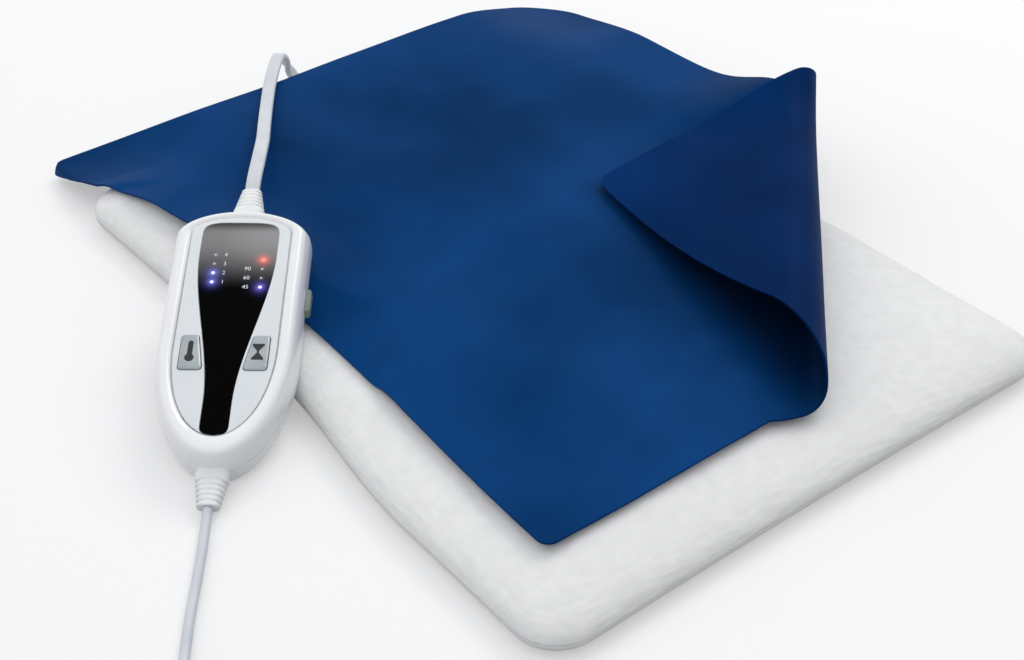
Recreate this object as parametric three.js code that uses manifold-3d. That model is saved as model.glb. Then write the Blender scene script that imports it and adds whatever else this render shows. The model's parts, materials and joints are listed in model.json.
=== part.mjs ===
// Fleece heating pad with a waterproof sheet and a hand controller, in millimetres, +Z up.
// The origin is the centre of the pad's flat underside. X runs across the pad and Y along it.
import * as THREE from 'three';
import { mergeVertices } from 'three/addons/utils/BufferGeometryUtils.js';
import Module from 'manifold-3d';

const wasm = await Module();
wasm.setup();

// Clearances and shared values
const seatGap = 0.3;
const slideGap = 0.35;
const overrun = 1;
const mergeTolerance = 0.001;

// Heating pad
const padWidth = 300;
const padLength = 400;
const padSeamHeight = 9;
const padCrown = 18;
const padCornerRadius = 22;
const padSideDrawIn = 2;
const padSoleInset = 9;
const padCoverWall = 5;
const padSeamBorder = 13;
const padPocketHeight = 11.5;
const padCrownPower = 5;
const padShoulderReach = 150;
const padFrontSpread = 11;
const padFrontSpreadStart = -60;
const padFrontSpreadReach = 120;
const padSideSpread = 12.5;
const padSideSpreadStart = 10;
const padSideSpreadReach = 120;

// Heating mat, wire and thermostats inside the pad
const matThickness = 2.4;
const matMargin = 5;
const wireDiameter = 2;
const wireRuns = 8;
const wireEdgeMargin = 16;
const wireBendRadius = 12;
const wireLeadSpacing = 8;
const wireBendSteps = 3;
const wireSides = 6;
const thermostatWidth = 9;
const thermostatLength = 16;
const thermostatHeight = 2.6;

// Moulded gland at the pad's far edge
const glandOffset = 164.2;
const glandWidth = 24;
const glandHeight = 9;
const glandTongueWidth = 20;
const glandTongueHeight = 6;
const glandReach = 24;
const glandHeadLength = 7;
const glandTipWidth = 10.4;
const glandTipHeight = 7;
const glandRibs = 4;

// Waterproof sheet, as cut, and how it lies
const sheetWidth = 326;
const sheetLength = 392;
const sheetThickness = 1.2;
const sheetSetIn = 13.5;
const sheetOffsetY = 20.2;
const sheetColumns = 21;
const sheetRows = 27;
const sheetCrowding = 0.2;
const sheetFoldFrontReach = 197;
const sheetFoldBackReach = 185;
const foldRadiusFront = 22;
const foldRadiusBack = 13.5;
const foldFlapGap = 4;
const foldFlapEase = 4;
const foldFlapSlope = 17;
const foldTipAlong = 172;
const foldFlapStretch = 1.21;
const foldFrontPower = 2.6;
const foldBackPower = 1.18;
const foldEndRise = 18.5;
const foldEndRiseWidth = 36;
const foldEndRiseReach = 80;
const archRise = 11;
const archPlace = 72;
const archWidth = 42;
const archStart = 75;
const archReach = 55;
const edgeBow = 12.3;
const edgeBowPlace = 25;
const edgeBowWidth = 133;
const edgeBowReach = 96;
const hangingCornerReach = 74;
const hangingCornerOut = 11;
const hangingCornerAlong = 30;
const hangingCornerDrop = 19.5;
const creaseBackReach = 8.2;
const creaseSideReach = 27.6;
const creaseRadius = 2.5;
const creaseBend = 72;
const backCornerDrop = 12;
const backCornerReachX = 70;
const backCornerReachY = 95;
const sheetPressNear = 16;
const sheetPressFar = 48;
const sheetShoulderEase = 3;

// Controller casing
const controllerLength = 146.5;
const controllerHalfWidth = 32.5;
const taperLength = 62;
const crownLength = 22;
const crownPower = 2.6;
const partingHeight = 11;
const partingGap = 0.3;
const rimHeight = 24.2;
const rimDropAtTop = 0.5;
const shellWall = 2;
const soleInset = 4;
const rimInset = 5.2;
const recessInset = 8.4;
const ledgeWidth = 1.5;
const ledgeThickness = 1.6;
const panelSeat = 21;
const panelTop = 22.9;
const panelThickness = 1.6;
const footSteps = 8;
const sideSteps = 3;
const crownSteps = 7;
const controllerYaw = 50.2;
const controllerTilt = 16.5;
const controllerOffset = 55.6;
const controllerPlaceY = -31.5;

// Case screws and their posts
const topPostSetback = 20;
const topPostOffset = 23;
const bottomPostPlace = 30;
const bottomPostOffset = 19.5;
const postRadius = 3.1;
const bossRadius = 4.2;
const screwHoleRadius = 1.4;
const screwShankRadius = 1.05;
const screwHeadRadius = 2.5;
const screwHeadHeight = 1.6;
const screwRecessDepth = 3;
const screwLength = 13;

// Display lens
const lensBottom = 12.6;
const lensTopSetback = 12.5;
const lensHalfWidthBottom = 6.3;
const lensHalfWidthTop = 18.1;
const lensFlareStart = 30;
const lensFlareSetback = 19;
const lensCapLength = 10;
const lensCapPower = 3;
const lensFootLength = 8;
const lensFootPower = 2.2;
const lensThickness = 0.7;
const lensCapSteps = 5;
const lensSideSteps = 7;
const lightSpacing = 5.4;
const heatLightOffset = 10.6;
const timerLightOffset = 12.3;
const heatLightSetback = 19.6;
const timerLightSetback = 22.4;
const lightRadius = 1.3;
const lightSpacerRadius = 1.8;
const lightSpacerHeight = 6.6;
const lightCount = 4;

// Buttons and their switches
const buttonBottom = 48;
const buttonTop = 67;
const buttonLensMargin = 1.5;
const buttonOuterEdge = 20.2;
const buttonCorner = 1.8;
const buttonProud = 1.1;
const buttonTravel = 0.8;
const buttonFlange = 0.6;
const buttonFlangeThickness = 1.1;
const buttonStemRadius = 2.4;
const tactSize = 6;
const tactHeight = 4;
const tactBoreRadius = 2;
const tactBoreDepth = 2.6;
const plungerRadius = 1.7;
const plungerProud = 1.6;

// Slide switch in the right wall
const slideSetback = 51.5;
const slideKnobLength = 13;
const slideKnobHeight = 6;
const slideKnobProud = 2.6;
const slideTravel = 4;
const slideFlangeThickness = 1.2;
const slideFlangeMargin = 1.4;
const slideProngLength = 2.2;
const slideProngHeight = 2.4;
const slideProngDepth = 3;
const slideRidges = 4;
const slideRidgeDepth = 0.7;
const slideBodyLength = 15;
const slideBodyDepth = 6;
const slideBodyHeight = 5;

// Circuit board and what it carries
const boardBottom = 8.3;
const boardThickness = 1.6;
const boardStart = 37;
const boardEndSetback = 28.5;
const boardHalfWidth = 25.5;
const boardCorner = 4;
const boardPostRadius = 2.2;
const boardPostInset = 5;
const fuseRadius = 2.6;
const fuseLength = 20;
const fuseClearance = 7;
const fuseOffset = 21.6;
const capacitorLength = 13;
const capacitorWidth = 6;
const capacitorHeight = 8;
const capacitorPlaceShare = 0.53;
const triacLength = 10;
const triacWidth = 4.4;
const triacHeight = 7.6;
const triacPlaceShare = 0.6;
const triacOffset = 15.5;
const chipLength = 10;
const chipWidth = 6;
const chipHeight = 1.8;
const chipPlaceShare = 0.36;
const terminalLength = 8;
const terminalWidth = 12;
const terminalHeight = 7.6;
const terminalOverhang = 3;

// Cord entries of the controller
const entryRadius = 4.2;
const reliefReach = 17;
const reliefCollarShare = 0.28;
const reliefFlangeRadius = 6.3;
const reliefFlangeThickness = 1.5;
const reliefFlangeSetback = 4.2;
const reliefCollarWidth = 7.6;
const reliefCollarHeight = 5.2;
const topReliefTipWidth = 4.8;
const bottomReliefTipWidth = 5.2;
const reliefTipHeight = 3.2;
const reliefRibs = 5;
const reliefRibDepth = 0.8;
const reliefPoints = 12;
const clampLength = 5;
const clampWidth = 15;
const clampRoof = 1.4;
const clampSetback = 11.5;
const innerLeadRadius = 2;

// Cords
const padCordWidth = 7.2;
const padCordThickness = 4;
const padCordSides = 10;
const padCordSteps = 40;
const mainsCordDiameter = 4.6;
const mainsCordSides = 8;
const mainsCordSteps = 20;
const mainsTailSteps = 12;

// Coil of the mains cord's unseen length
const coilCentreX = -126.6;
const coilCentreY = -180;
const coilOuterRadius = 31;
const coilPitch = 5.1;
const coilBaseHeight = 3.5;
const coilLayers = 4;
const coilStartAngle = 146;
const coilEndAngle = 180;
const coilWholeTurns = 10;
const coilStepsPerTurn = 24;
const coilSides = 6;
const tieThickness = 0.8;
const tieWidth = 5;
const tieGap = 0.35;
const tiePlaceAngle = 60;

// Two-pin plug
const plugPlaceX = -110;
const plugPlaceY = -234.5;
const plugAxisHeight = 6.9;
const plugWidth = 33;
const plugThickness = 13.6;
const plugNeckWidth = 15;
const plugLength = 33;
const plugFaceWidth = 26;
const plugPinSpacing = 18.6;
const plugPinRadius = 2;
const plugPinLength = 19;
const plugPinSeat = 4;
const plugReliefLength = 22;
const plugReliefRadius = 5;
const plugReliefTipRadius = 3.3;
const plugReliefRibs = 5;
const plugReliefRibDepth = 0.7;

// Routes of the free cords, chosen by hand, measured across from the pad's left edge
const padCordRoute = [
  [42.93, 86.76, 55.93],
  [47.35, 92.07, 57.98],
  [62, 111, 56.5],
  [80, 137, 48.5],
  [98, 165, 39.8],
  [114, 189, 34.2],
  [130, 211, 32.6],
  [144, 227, 34],
  [152, 236, 32],
  [158, 241.5, 26],
  [161, 241.5, 18.5],
  [163.2, 236, 11.6],
  [164.2, 229.5, 9.2],
  [164.2, 222.3, 9],
];
const mainsCordRoute = [
  [-68.22, -46.64, 4.49],
  [-71.04, -50.03, 3.19],
  [-76, -56.5, 2.45],
  [-83, -66, 2.4],
  [-93, -79, 2.4],
  [-106, -95.5, 2.4],
  [-120.4, -115.3, 2.4],
  [-134, -135.5, 2.6],
  [-143, -148.9, 3.2],
  [-146.8, -154.5, 3.43],
  [-149.56, -158.6, 3.45],
];
const mainsTailRoute = [
  [-157.6, -184.9, 18.75],
  [-157.6, -189.6, 18.6],
  [-157.5, -197, 17],
  [-157.2, -206, 14],
  [-155, -216, 10.8],
  [-149.8, -226, 8.3],
  [-143, -232, 7.2],
  [-137, -234.4, 6.9],
  [-132.3, -234.5, 6.9],
];

// Finishes
const finish = (color, roughness, metalness = 0) =>
  new THREE.MeshStandardMaterial({ color, roughness, metalness });
const fleece = finish(0xe9e9e7, 0.95);
const waterproof = finish(0x06305f, 0.42);
const whiteShell = finish(0xe8ebee, 0.32);
const paleShell = finish(0xcfd5d9, 0.35);
const blackGloss = finish(0x08090b, 0.1);
const satinGrey = finish(0x9aa2a6, 0.35, 0.3);
const greyGreen = finish(0x8f9a93, 0.5);
const whiteRubber = finish(0xe6e7e8, 0.55);
const whiteCable = finish(0xe9eaec, 0.5);
const circuitGreen = finish(0x1d5a38, 0.5);
const blackPlastic = finish(0x1b1c1e, 0.5);
const orangePlastic = finish(0xb8801f, 0.45);
const screwSteel = finish(0xa9abad, 0.35, 0.9);
const plugBrass = finish(0xb9b7ad, 0.25, 0.9);
const felt = finish(0xcdbfa6, 0.95);
const wireRed = finish(0xb4432f, 0.6);
const clearLight = finish(0xdfe8f2, 0.2);
const glassTube = finish(0xc8d2d4, 0.15);

// Places that follow from the sizes above
const padLeft = -padWidth / 2;
const glandPlaceX = padLeft + glandOffset;
const controllerPlaceX = padLeft - controllerOffset;
const topPostPlace = controllerLength - topPostSetback;
const lensTop = controllerLength - lensTopSetback;
const lensFlareEnd = lensTop - lensFlareSetback;
const heatLightTop = lensTop - heatLightSetback;
const timerLightTop = lensTop - timerLightSetback;
const slidePlace = controllerLength - slideSetback;
const boardEnd = controllerLength - boardEndSetback;

// Small maths shared by the shapes
const halfTurn = Math.PI;
const radians = (degrees) => THREE.MathUtils.degToRad(degrees);
const mix = THREE.MathUtils.lerp;
const power = (value, exponent) => Math.sign(value) * Math.abs(value) ** exponent;
function ease(value) {
  const t = THREE.MathUtils.clamp(value, 0, 1);
  return t * t * (3 - 2 * t);
}
const bell = (value, place, width) => Math.exp(-(((value - place) / width) ** 2));

// Turns a closed mesh's faces outward
function facingOut(geometry) {
  const place = geometry.attributes.position;
  const index = geometry.index;
  const corners = [new THREE.Vector3(), new THREE.Vector3(), new THREE.Vector3()];
  let volume = 0;
  for (let i = 0; i < index.count; i += 3) {
    corners.forEach((corner, k) => corner.fromBufferAttribute(place, index.getX(i + k)));
    volume += corners[0].dot(corners[1].cross(corners[2]));
  }
  if (volume < 0) {
    for (let i = 0; i < index.count; i += 3) {
      const first = index.getX(i);
      index.setX(i, index.getX(i + 1));
      index.setX(i + 1, first);
    }
  }
  return geometry;
}

function meshOf(vertices, faces) {
  const geometry = new THREE.BufferGeometry();
  geometry.setAttribute('position', new THREE.Float32BufferAttribute(vertices.flat(), 3));
  geometry.setIndex(faces.flat());
  return facingOut(geometry);
}

// Joins rings of equally many points: capped at both ends, or closed on themselves
function ringSolid(rings, endless = false) {
  const count = rings[0].length;
  const vertices = rings.flat();
  const faces = [];
  const bands = endless ? rings.length : rings.length - 1;
  for (let band = 0; band < bands; band += 1) {
    const near = band * count;
    const far = ((band + 1) % rings.length) * count;
    for (let i = 0; i < count; i += 1) {
      const j = (i + 1) % count;
      faces.push([near + i, near + j, far + j], [near + i, far + j, far + i]);
    }
  }
  if (!endless) {
    const middle = (ring) => [0, 1, 2].map((k) => ring.reduce((sum, p) => sum + p[k], 0) / count);
    const first = vertices.length;
    const last = first + 1;
    const lastRing = (rings.length - 1) * count;
    vertices.push(middle(rings[0]), middle(rings[rings.length - 1]));
    for (let i = 0; i < count; i += 1) {
      const j = (i + 1) % count;
      faces.push([first, j, i], [last, lastRing + i, lastRing + j]);
    }
  }
  return meshOf(vertices, faces);
}

// Joining and cutting of closed meshes
function toSolid(geometry) {
  const plain = geometry.clone();
  plain.deleteAttribute('normal');
  plain.deleteAttribute('uv');
  const merged = mergeVertices(plain, mergeTolerance);
  return new wasm.Manifold(new wasm.Mesh({
    numProp: 3,
    vertProperties: new Float32Array(merged.attributes.position.array),
    triVerts: new Uint32Array(merged.index.array),
  }));
}

function toGeometry(solid) {
  const mesh = solid.getMesh();
  const geometry = new THREE.BufferGeometry();
  geometry.setAttribute('position', new THREE.Float32BufferAttribute(mesh.vertProperties, 3));
  geometry.setIndex([...mesh.triVerts]);
  return geometry;
}

function shaped(base, joined, removed) {
  const whole = joined.reduce((solid, piece) => solid.add(toSolid(piece)), toSolid(base));
  return toGeometry(removed.reduce((solid, tool) => solid.subtract(toSolid(tool)), whole));
}

// Simple solids placed by their faces
function box(x0, x1, y0, y1, z0, z1) {
  const geometry = new THREE.BoxGeometry(x1 - x0, y1 - y0, z1 - z0);
  return geometry.translate((x0 + x1) / 2, (y0 + y1) / 2, (z0 + z1) / 2);
}

function post(radius, x, y, z0, z1, sides = 16) {
  const geometry = new THREE.CylinderGeometry(radius, radius, z1 - z0, sides);
  return geometry.rotateX(halfTurn / 2).translate(x, y, (z0 + z1) / 2);
}

function rodAlongX(radius, x0, x1, y, z, sides = 16) {
  const geometry = new THREE.CylinderGeometry(radius, radius, x1 - x0, sides);
  return geometry.rotateZ(halfTurn / 2).translate((x0 + x1) / 2, y, z);
}

function turned(profile, x, y, sides = 10) {
  const points = profile.map(([radius, height]) => new THREE.Vector2(radius, height));
  return new THREE.LatheGeometry(points, sides).rotateX(halfTurn / 2).translate(x, y, 0);
}

const toPath = (Kind, outline) => new Kind(outline.map(([x, y]) => new THREE.Vector2(x, y)));

function plate(outline, z0, z1, holes = []) {
  const shape = toPath(THREE.Shape, outline);
  shape.holes = holes.map((hole) => toPath(THREE.Path, hole));
  const geometry = new THREE.ExtrudeGeometry(shape, { depth: z1 - z0, bevelEnabled: false });
  return geometry.translate(0, 0, z0);
}

const atHeight = (outline, z) => outline.map(([x, y]) => [x, y, z]);

// Rounds the corners of a polygon that runs one way round
function roundedCorners(corners, radius, steps) {
  const result = [];
  corners.forEach((corner, i) => {
    const here = new THREE.Vector2(...corner);
    const before = new THREE.Vector2(...corners[(i + corners.length - 1) % corners.length]);
    const after = new THREE.Vector2(...corners[(i + 1) % corners.length]);
    const back = before.sub(here).normalize();
    const ahead = after.sub(here).normalize();
    const opening = Math.acos(back.dot(ahead));
    const reach = radius / Math.tan(opening / 2);
    const start = here.clone().addScaledVector(back, reach);
    const end = here.clone().addScaledVector(ahead, reach);
    for (let k = 0; k <= steps; k += 1) {
      const t = k / steps;
      const toStart = start.clone().multiplyScalar((1 - t) ** 2);
      const toCorner = here.clone().multiplyScalar(2 * t * (1 - t));
      const toEnd = end.clone().multiplyScalar(t ** 2);
      const point = toStart.add(toCorner).add(toEnd);
      result.push([point.x, point.y]);
    }
  });
  return result;
}

function rectangle(x0, x1, y0, y1) {
  return [[x0, y0], [x1, y0], [x1, y1], [x0, y1]];
}

const part = new THREE.Group();

function addPiece(group, name, geometry, material) {
  const mesh = new THREE.Mesh(geometry, material);
  mesh.name = name;
  group.add(mesh);
  return mesh;
}

// Heating pad
const padCornerSteps = 4;
const padSideSteps = 6;

// How far the soft pad spreads beyond a true rectangle toward its front and its front left corner
function padSpread(x, y) {
  const leftness = (padWidth / 2 - x) / padWidth;
  const sideways = padSideSpread * leftness ** 2 * ease((padSideSpreadStart - y) / padSideSpreadReach);
  const forward = padFrontSpread * ease((padFrontSpreadStart - y) / padFrontSpreadReach);
  return [sideways, forward];
}

function padOutline(inset) {
  const halfX = padWidth / 2 - inset;
  const halfY = padLength / 2 - inset;
  const radius = Math.max(padCornerRadius - inset / 2, padCornerRadius / 2);
  const points = [];
  for (let quarter = 0; quarter < 4; quarter += 1) {
    const signX = quarter === 0 || quarter === 3 ? 1 : -1;
    const signY = quarter < 2 ? 1 : -1;
    const cornerX = signX * (halfX - radius);
    const cornerY = signY * (halfY - radius);
    const nextX = quarter % 2 === 0 ? -cornerX : cornerX;
    const nextY = quarter % 2 === 0 ? cornerY : -cornerY;
    for (let k = 0; k <= padCornerSteps; k += 1) {
      const angle = (quarter + k / padCornerSteps) * (halfTurn / 2);
      points.push([cornerX + radius * Math.cos(angle), cornerY + radius * Math.sin(angle)]);
    }
    const endAngle = (quarter + 1) * (halfTurn / 2);
    for (let k = 1; k < padSideSteps; k += 1) {
      const share = k / padSideSteps;
      const x = mix(cornerX, nextX, share) + radius * Math.cos(endAngle);
      const y = mix(cornerY, nextY, share) + radius * Math.sin(endAngle);
      points.push([x, y]);
    }
  }
  return points.map(([x, y]) => {
    const [sideways, forward] = padSpread(x, y);
    return [
      x - Math.sign(x) * padSideDrawIn * Math.abs(x / halfX) * (1 - (y / halfY) ** 2) - sideways,
      y - Math.sign(y) * padSideDrawIn * Math.abs(y / halfY) * (1 - (x / halfX) ** 2) - forward,
    ];
  });
}

const padShoulder = (inset) =>
  Math.sqrt(1 - Math.max(1 - inset / padShoulderReach, 0) ** padCrownPower);
const padTopHeight = (inset) => padSeamHeight + padCrown * padShoulder(inset);
const padRing = (inset, z) => atHeight(padOutline(inset), z);
const padInsetShares = [0.008, 0.025, 0.05, 0.09, 0.15, 0.24, 0.38, 0.56, 0.78];
const padEdgeY = padLength / 2 - padSideDrawIn;
const padSeamTop = padSeamHeight + seatGap / 2;
const padSeamBottom = padSeamHeight - seatGap / 2;

const glandNotch = () => box(
  glandPlaceX - glandTongueWidth / 2 - seatGap,
  glandPlaceX + glandTongueWidth / 2 + seatGap,
  padEdgeY - padSeamBorder - overrun,
  padEdgeY + overrun,
  padSeamHeight - glandTongueHeight / 2 - seatGap,
  padSeamHeight + glandTongueHeight / 2 + seatGap,
);

function padTopCover() {
  const dome = padInsetShares.map((share) => {
    const inset = (share * padWidth) / 2;
    return padRing(inset, padTopHeight(inset));
  });
  const cover = ringSolid([
    padRing(padSeamBorder, padPocketHeight),
    padRing(padSeamBorder, padSeamTop),
    padRing(0, padSeamTop),
    ...dome,
  ]);
  return shaped(cover, [], [glandNotch()]);
}

// Underside curve: each row is a share of the sole's inset and a share of the seam's height
const padSoleShares = [[1, 0], [0.4, 0.2], [0.1, 0.55], [0, 1]];

function padBottomCover() {
  const cover = ringSolid([
    ...padSoleShares.map(([inset, height]) => padRing(padSoleInset * inset, padSeamBottom * height)),
    padRing(padSeamBorder, padSeamBottom),
    padRing(padSeamBorder, padCoverWall),
  ]);
  return shaped(cover, [], [glandNotch()]);
}

// Heating mat, its wire and thermostats
const matHalfX = padWidth / 2 - padSeamBorder - matMargin;
const matHalfY = padLength / 2 - padSeamBorder - matMargin;
const matBottom = padCoverWall + seatGap;
const matTop = matBottom + matThickness;
const wireHeight = matTop + seatGap + wireDiameter / 2;
const wireSpacing = (2 * (matHalfX - wireEdgeMargin)) / (wireRuns - 1);

function heatingMat() {
  const outline = rectangle(-matHalfX, matHalfX, -matHalfY, matHalfY);
  return plate(roundedCorners(outline, padSeamBorder, 3), matBottom, matTop);
}

// A round tube along points that lie almost level
function levelTube(points, radius, sides) {
  const rings = points.map((point, i) => {
    const before = points[Math.max(i - 1, 0)];
    const after = points[Math.min(i + 1, points.length - 1)];
    const along = new THREE.Vector3(...after).sub(new THREE.Vector3(...before)).normalize();
    const across = new THREE.Vector3(-along.y, along.x, 0).normalize();
    const upward = along.clone().cross(across);
    return Array.from({ length: sides }, (_, k) => {
      const angle = (2 * halfTurn * k) / sides;
      const spot = new THREE.Vector3(...point);
      spot.addScaledVector(across, radius * Math.cos(angle));
      spot.addScaledVector(upward, radius * Math.sin(angle));
      return spot.toArray();
    });
  });
  return ringSolid(rings);
}

function heatingWire() {
  const lastRun = wireRuns - 1;
  const leadY = matHalfY - wireEdgeMargin;
  const glandFaceY = padEdgeY - padSeamBorder - seatGap;
  const leadLeft = glandPlaceX - wireLeadSpacing / 2;
  const leadRight = glandPlaceX + wireLeadSpacing / 2;
  const runX = (run) => (run - lastRun / 2) * wireSpacing;
  const corners = [[leadLeft, leadY]];
  for (let run = 0; run < wireRuns; run += 1) {
    const upper = run === 0 || run === lastRun ? leadY : leadY - wireSpacing;
    const ends = [[runX(run), upper], [runX(run), -leadY]];
    corners.push(...(run % 2 === 0 ? ends : ends.reverse()));
  }
  corners.push([leadRight, leadY]);
  const ring = [[leadLeft, glandFaceY], ...corners, [leadRight, glandFaceY]];
  const rounded = roundedCorners(ring, wireBendRadius, wireBendSteps);
  const bends = rounded.slice(wireBendSteps + 1, rounded.length - wireBendSteps - 1);
  const route = [ring[0], ...bends, ring[ring.length - 1]];
  return levelTube(atHeight(route, wireHeight), wireDiameter / 2, wireSides);
}

function thermostat(x, y) {
  const outline = rectangle(
    x - thermostatWidth / 2,
    x + thermostatWidth / 2,
    y - thermostatLength / 2,
    y + thermostatLength / 2,
  );
  const bottom = matTop + seatGap;
  return plate(roundedCorners(outline, thermostatHeight / 2, 2), bottom, bottom + thermostatHeight);
}

// Loft of flattened round sections along one axis: each section is [along, halfWidth, halfHeight]
function sectionLoft(sections, points, squareness = 2) {
  return ringSolid(sections.map(([along, halfWidth, halfHeight]) =>
    Array.from({ length: points }, (_, k) => {
      const angle = (2 * halfTurn * (k + 0.5)) / points;
      const across = halfWidth * power(Math.cos(angle), 2 / squareness);
      const upward = halfHeight * power(Math.sin(angle), 2 / squareness);
      return [along, across, upward];
    })));
}

// Rib sections between two sizes: [along, halfWidth, halfHeight] at each end
function ribSections(from, to, ribs, depth) {
  const sections = [];
  for (let rib = 0; rib < ribs; rib += 1) {
    [[0, depth], [0.45, depth], [0.45, 0], [1, 0]].forEach(([share, sunk]) => {
      const t = (rib + share) / ribs;
      const [along, halfWidth, halfHeight] = from.map((value, k) => mix(value, to[k], t));
      sections.push([along, halfWidth - sunk, halfHeight - sunk]);
    });
  }
  return sections;
}

function padGland() {
  const ribStart = glandHeadLength + seatGap;
  const head = [glandHeadLength, glandWidth / 2, glandHeight / 2];
  const tip = [glandReach, glandTipWidth / 2, glandTipHeight / 2];
  const body = sectionLoft([
    [-padSeamBorder, glandTongueWidth / 2, glandTongueHeight / 2],
    [seatGap, glandTongueWidth / 2, glandTongueHeight / 2],
    [seatGap, head[1], head[2]],
    head,
    ...ribSections([ribStart, head[1], head[2]], tip, glandRibs, glandTipHeight / 10),
  ], 12, 4);
  return body.rotateZ(halfTurn / 2).translate(glandPlaceX, padEdgeY, padSeamHeight);
}

addPiece(part, 'pad_top_cover', padTopCover(), fleece);
addPiece(part, 'pad_bottom_cover', padBottomCover(), fleece);
addPiece(part, 'heating_mat', heatingMat(), felt);
addPiece(part, 'heating_wire', heatingWire(), wireRed);
addPiece(part, 'pad_thermostat_left', thermostat(-2 * wireSpacing, -matHalfY / 3), blackPlastic);
addPiece(part, 'pad_thermostat_right', thermostat(2 * wireSpacing, matHalfY / 3), blackPlastic);
addPiece(part, 'pad_cord_gland', padGland(), whiteRubber);

// Place of the controller: its lower end stands on the floor, its back leans on the sheet
const controller = new THREE.Group();
const controllerLift = -soleInset * Math.sin(radians(controllerTilt));
controller.rotation.set(0, -radians(controllerTilt), radians(controllerYaw), 'ZYX');
controller.position.set(controllerPlaceX, controllerPlaceY, controllerLift);
controller.updateMatrixWorld();
part.add(controller);
const controllerNormal = new THREE.Vector3(0, 0, 1).applyEuler(controller.rotation);

function controllerUnderside(x, y) {
  const fall = controllerNormal.x * (x - controllerPlaceX) + controllerNormal.y * (y - controllerPlaceY);
  return controllerLift - fall / controllerNormal.z;
}

function distanceFromController(x, y) {
  const yaw = radians(controllerYaw);
  const dx = x - controllerPlaceX;
  const dy = y - controllerPlaceY;
  const along = (dx * Math.cos(yaw) + dy * Math.sin(yaw)) / Math.cos(radians(controllerTilt));
  const across = Math.abs(-dx * Math.sin(yaw) + dy * Math.cos(yaw));
  const pastEnd = Math.max(along - controllerLength, -along, 0);
  const pastSide = Math.max(across - controllerHalfWidth + soleInset, 0);
  return Math.hypot(pastEnd, pastSide);
}

// Waterproof sheet
const sheetLeft = padLeft + sheetSetIn;
const sheetRight = sheetLeft + sheetWidth;
const sheetFront = sheetOffsetY - sheetLength / 2;
const sheetBack = sheetOffsetY + sheetLength / 2;
const sheetLevel = padSeamHeight + padCrown + seatGap + sheetThickness / 2;
const foldStart = new THREE.Vector2(sheetRight - sheetFoldFrontReach, sheetFront);
const foldEnd = new THREE.Vector2(sheetRight, sheetFront + sheetFoldBackReach);
const foldLine = foldEnd.clone().sub(foldStart);
const foldLength = foldLine.length();
foldLine.normalize();
const foldAcross = new THREE.Vector2(foldLine.y, -foldLine.x);

// Lowest height of the sheet over the pad's rounded shoulder
function sheetRest(x, y) {
  const [sideways, forward] = padSpread(x, y);
  const insetX = padWidth / 2 - Math.abs(x + sideways);
  const insetY = padLength / 2 - Math.abs(y + forward);
  const inset = Math.min(insetX, insetY) + sheetShoulderEase;
  if (inset <= 0) return 0;
  return padTopHeight(inset) + seatGap + sheetThickness / 2;
}

// The hanging corner is bent down along a crease: how far a point is drawn in, and how far down
function cornerBend(x, y) {
  const length = Math.hypot(creaseBackReach, creaseSideReach);
  const sideways = (sheetLeft + creaseBackReach - x) * creaseSideReach;
  const past = Math.max((sideways - (sheetBack - y) * creaseBackReach) / length, 0);
  const turn = Math.min(past / creaseRadius, radians(creaseBend));
  const straight = past - creaseRadius * turn;
  const drawn = past - creaseRadius * Math.sin(turn) - straight * Math.cos(turn);
  const down = creaseRadius * (1 - Math.cos(turn)) + straight * Math.sin(turn);
  return [(drawn * creaseSideReach) / length, (drawn * creaseBackReach) / length, down];
}

function sheetLying(x, y) {
  const lean = ease((padLeft + archStart - x) / archReach);
  const arch = archRise * bell(y, archPlace, archWidth) * lean;
  const foldLift = foldEndRise * bell(y, foldEnd.y, foldEndRiseWidth)
    * ease((x - sheetRight + foldEndRiseReach) / foldEndRiseReach);
  const backDrop = backCornerDrop * ease((x - sheetRight + backCornerReachX) / backCornerReachX)
    * ease((y - sheetBack + backCornerReachY) / backCornerReachY);
  const bow = edgeBow * bell(y, edgeBowPlace, edgeBowWidth)
    * ease((sheetLeft + edgeBowReach - x) / edgeBowReach);
  const hang = ease(1 - Math.hypot(x - sheetLeft, y - sheetBack) / hangingCornerReach);
  const [bendX, bendY, bendDown] = cornerBend(x, y);
  const placeX = x + bow - hangingCornerOut * hang + bendX;
  const placeY = y + hangingCornerAlong * hang - bendY;
  const height = sheetLevel + arch + foldLift - backDrop - hangingCornerDrop * hang - bendDown;
  const pressed = controllerUnderside(placeX, placeY) - seatGap - sheetThickness / 2;
  const pastNear = distanceFromController(placeX, placeY) - sheetPressNear;
  const farness = pastNear / (sheetPressFar - sheetPressNear);
  const press = (1 - ease(farness)) * Math.max(height - pressed, 0);
  return new THREE.Vector3(placeX, placeY, Math.max(height - press, sheetRest(placeX, placeY)));
}

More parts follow.
